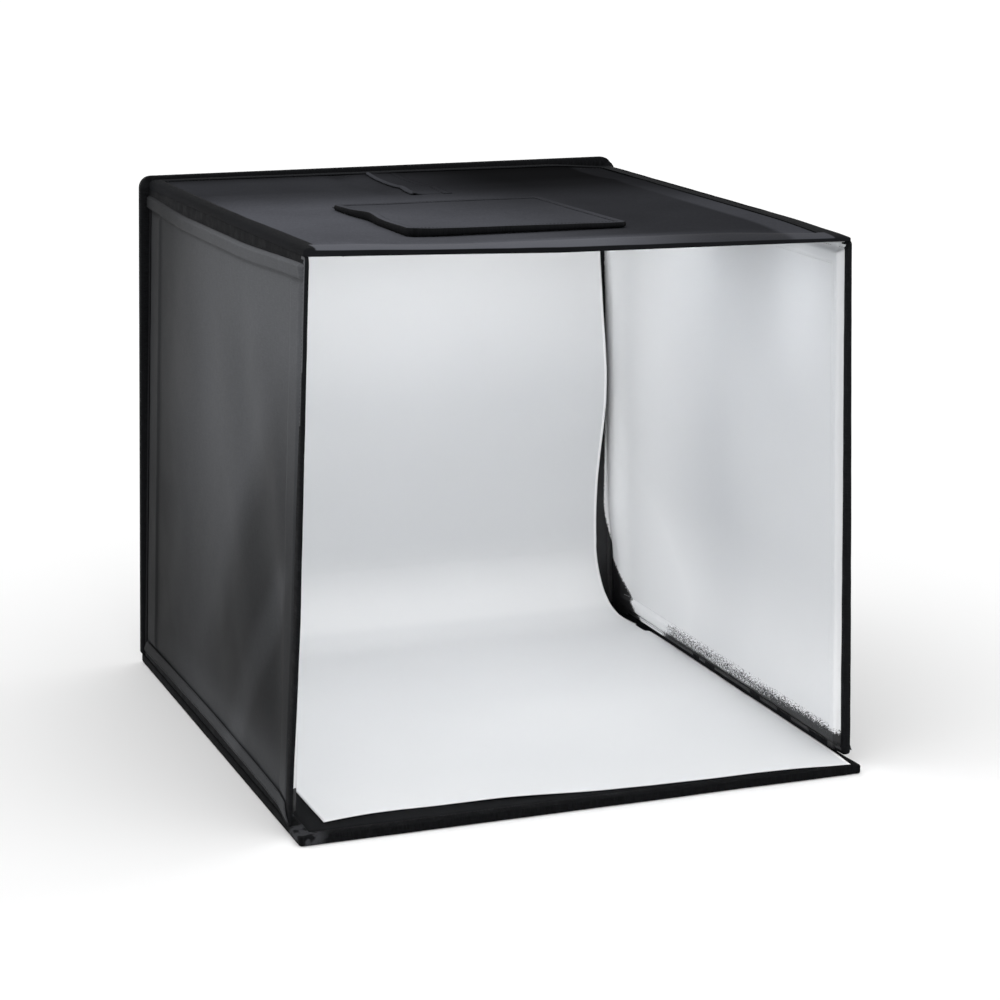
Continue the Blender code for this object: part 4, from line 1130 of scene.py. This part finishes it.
def makePlacket():
    hinge, front, rear, level = (placket[key] for key in ("hinge", "front", "rear", "level"))

    def free(y):
        return -0.048 + (y - front) * 0.050

    def surface(u, v):  # its free edge is a raised, rolled hem
        share = (hinge - u) / (hinge - placket["hem"][0])
        x = hinge + (free(v) - hinge) * share
        curl = 0.0006 * ease(share, 0.35, 0.75) + 0.0018 * ease(share, 0.74, 0.90)
        y = v + 0.005 * (1 - ease(share, 0.0, 0.72)) * (rear - v) / (rear - front)
        flatEnd = 0.0008 * (1 - ease(v, front, front + 0.006)) * (1 - ease(share, 0.55, 0.75))
        sink = topField(x, y) - flatEnd
        return x, y, level - 0.0009 + curl - 0.0014 * ease(share, 0.93, 1.0) + sink

    def onHem(y, ahead, high):
        return Vector((free(y) + ahead, y, level + high + topField(free(y), y)))
    us = [*placket["hem"], *spread(-0.029, hinge, 0.003)]
    strip = clothGrid(us, spread(front, rear, 0.005), surface, radius=0.0015)
    # the rolled hem takes the flap's lighter cloth: a painted highlight along its raised edge
    for face in strip.faces:
        centre = face.calc_center_median()
        face.material_index = 1 if centre.x < free(centre.y) + 0.0062 else 0
    strip = dress("placket_cloth", strip, [topCloth, flapCloth], "cable_flap", "cable_flap",
                  thickness=placket["cloth"])
    rows = [([onHem(front + 0.004 + 0.188 * i / 30, 0.0035, 0.0014) for i in range(31)],
             upward, False)]
    for k in range(placket["tacks"]):  # bar tacks across the front end
        y = front + 0.0035 + 0.0011 * k
        rows.append(([onHem(y, 0.002 + 0.0005 * i, 0.0015) for i in range(9)], upward, False))
    seams = stitchRows("placket_stitches", "cable_flap", rows)


makeFlap()
makePlacket()
print("flap and placket dressed")

aluminium = hardPaint("brushedAluminium", (0.66, 0.67, 0.68), (0.52, 0.53, 0.54), 0.34, 1.0,
                      (1, 18, 18), 120.0, 0.25)
blackPlastic = hardPaint("blackPlastic", (0.022, 0.022, 0.024), (0.014, 0.014, 0.015), 0.46,
                         gloss=0.4, scale=900.0)
blackBoard = hardPaint("foamBoard", (0.020, 0.020, 0.022), (0.012, 0.012, 0.013), 0.75,
                       scale=260.0, gloss=0.1)
boards, covers = boardPaint(), diffuserPaint()
nodePaints = {"base_board": blackBoard, "back_board": blackBoard, "left_wall_wire": springSteel,
              "right_wall_wire": springSteel}
for place in ("front", "rear"):
    bar = place + "_light_"
    nodePaints.update({bar + "channel": aluminium, bar + "board": boards, bar + "diffuser": covers,
                       bar + "left_cap": blackPlastic, bar + "right_cap": blackPlastic,
                       bar + "inlet": blackPlastic})
    for side in ("left", "right"):
        pad = stripOver(bar + side + "_hook_pad", bar + side + "_pad", place + "_light")
for node, paint in nodePaints.items():
    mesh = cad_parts[node].data
    mesh.materials.clear()
    mesh.materials.append(paint)
print("light bars finished")


def makeStudio():
    scene = bpy.context.scene
    scene.view_settings.view_transform = "Standard"
    floor = bmesh.new()
    bmesh.ops.create_grid(floor, x_segments=2, y_segments=2, size=60)
    pale = Paint("paleFloor", {"Roughness": 0.9, "Specular IOR Level": 0.0,
                               "Base Color": (0.93, 0.93, 0.93, 1)})
    floor = finishPiece("studio_floor", floor, [pale.material])
    floor.location.z = -0.0004
    scene.world = bpy.data.worlds.new("studio")
    scene.world.use_nodes = True
    sky = Nodes(scene.world.node_tree)
    sky.tree.nodes.clear()
    ray = sky.node("ShaderNodeTexCoord", out="Generated")
    facing = sky.node("ShaderNodeVectorMath", {"operation": "DOT_PRODUCT"},
                      {0: ray, 1: Vector(lights["towards"]).normalized()}, out="Value")
    strength = (facing * lights["tilt"] + 1) * lights["sky"]
    glow = sky.node("ShaderNodeBackground", inputs={"Color": (1, 1, 1, 1), "Strength": strength})
    clean = sky.node("ShaderNodeBackground", inputs={"Color": (1, 1, 1, 1), "Strength": 1.0})
    seen = sky.node("ShaderNodeLightPath", out="Is Camera Ray")
    mixed = sky.node("ShaderNodeMixShader", inputs={0: seen, 1: glow, 2: clean})
    output = sky.tree.nodes.new("ShaderNodeOutputWorld")
    sky.tree.links.new(mixed.socket, output.inputs["Surface"])


view = {"spot": (-1.0541, -2.7709, 0.9961), "turn": 21.2796, "dip": 13.973, "roll": 0.4294,
        "lens": 95.73, "sensor": 36.0, "near": 0.05, "far": 200.0}


def makeCamera():
    turn, dip, roll = (math.radians(view[key]) for key in ("turn", "dip", "roll"))
    forward = Vector((math.sin(turn) * math.cos(dip), math.cos(turn) * math.cos(dip),
                      -math.sin(dip)))
    level = Vector((math.cos(turn), -math.sin(turn), 0))
    upright = level.cross(forward)
    right = level * math.cos(roll) + upright * math.sin(roll)
    up = upright * math.cos(roll) - level * math.sin(roll)
    lens = bpy.data.cameras.new("camera")
    lens.lens, lens.sensor_width = view["lens"], view["sensor"]
    lens.clip_start, lens.clip_end = view["near"], view["far"]
    camera = bpy.data.objects.new("camera", lens)
    camera.matrix_world = panelPlace(view["spot"], right, up, -forward)
    bpy.context.scene.collection.objects.link(camera)
    bpy.context.scene.camera = camera


makeStudio()
makeCamera()
print("studio ready")
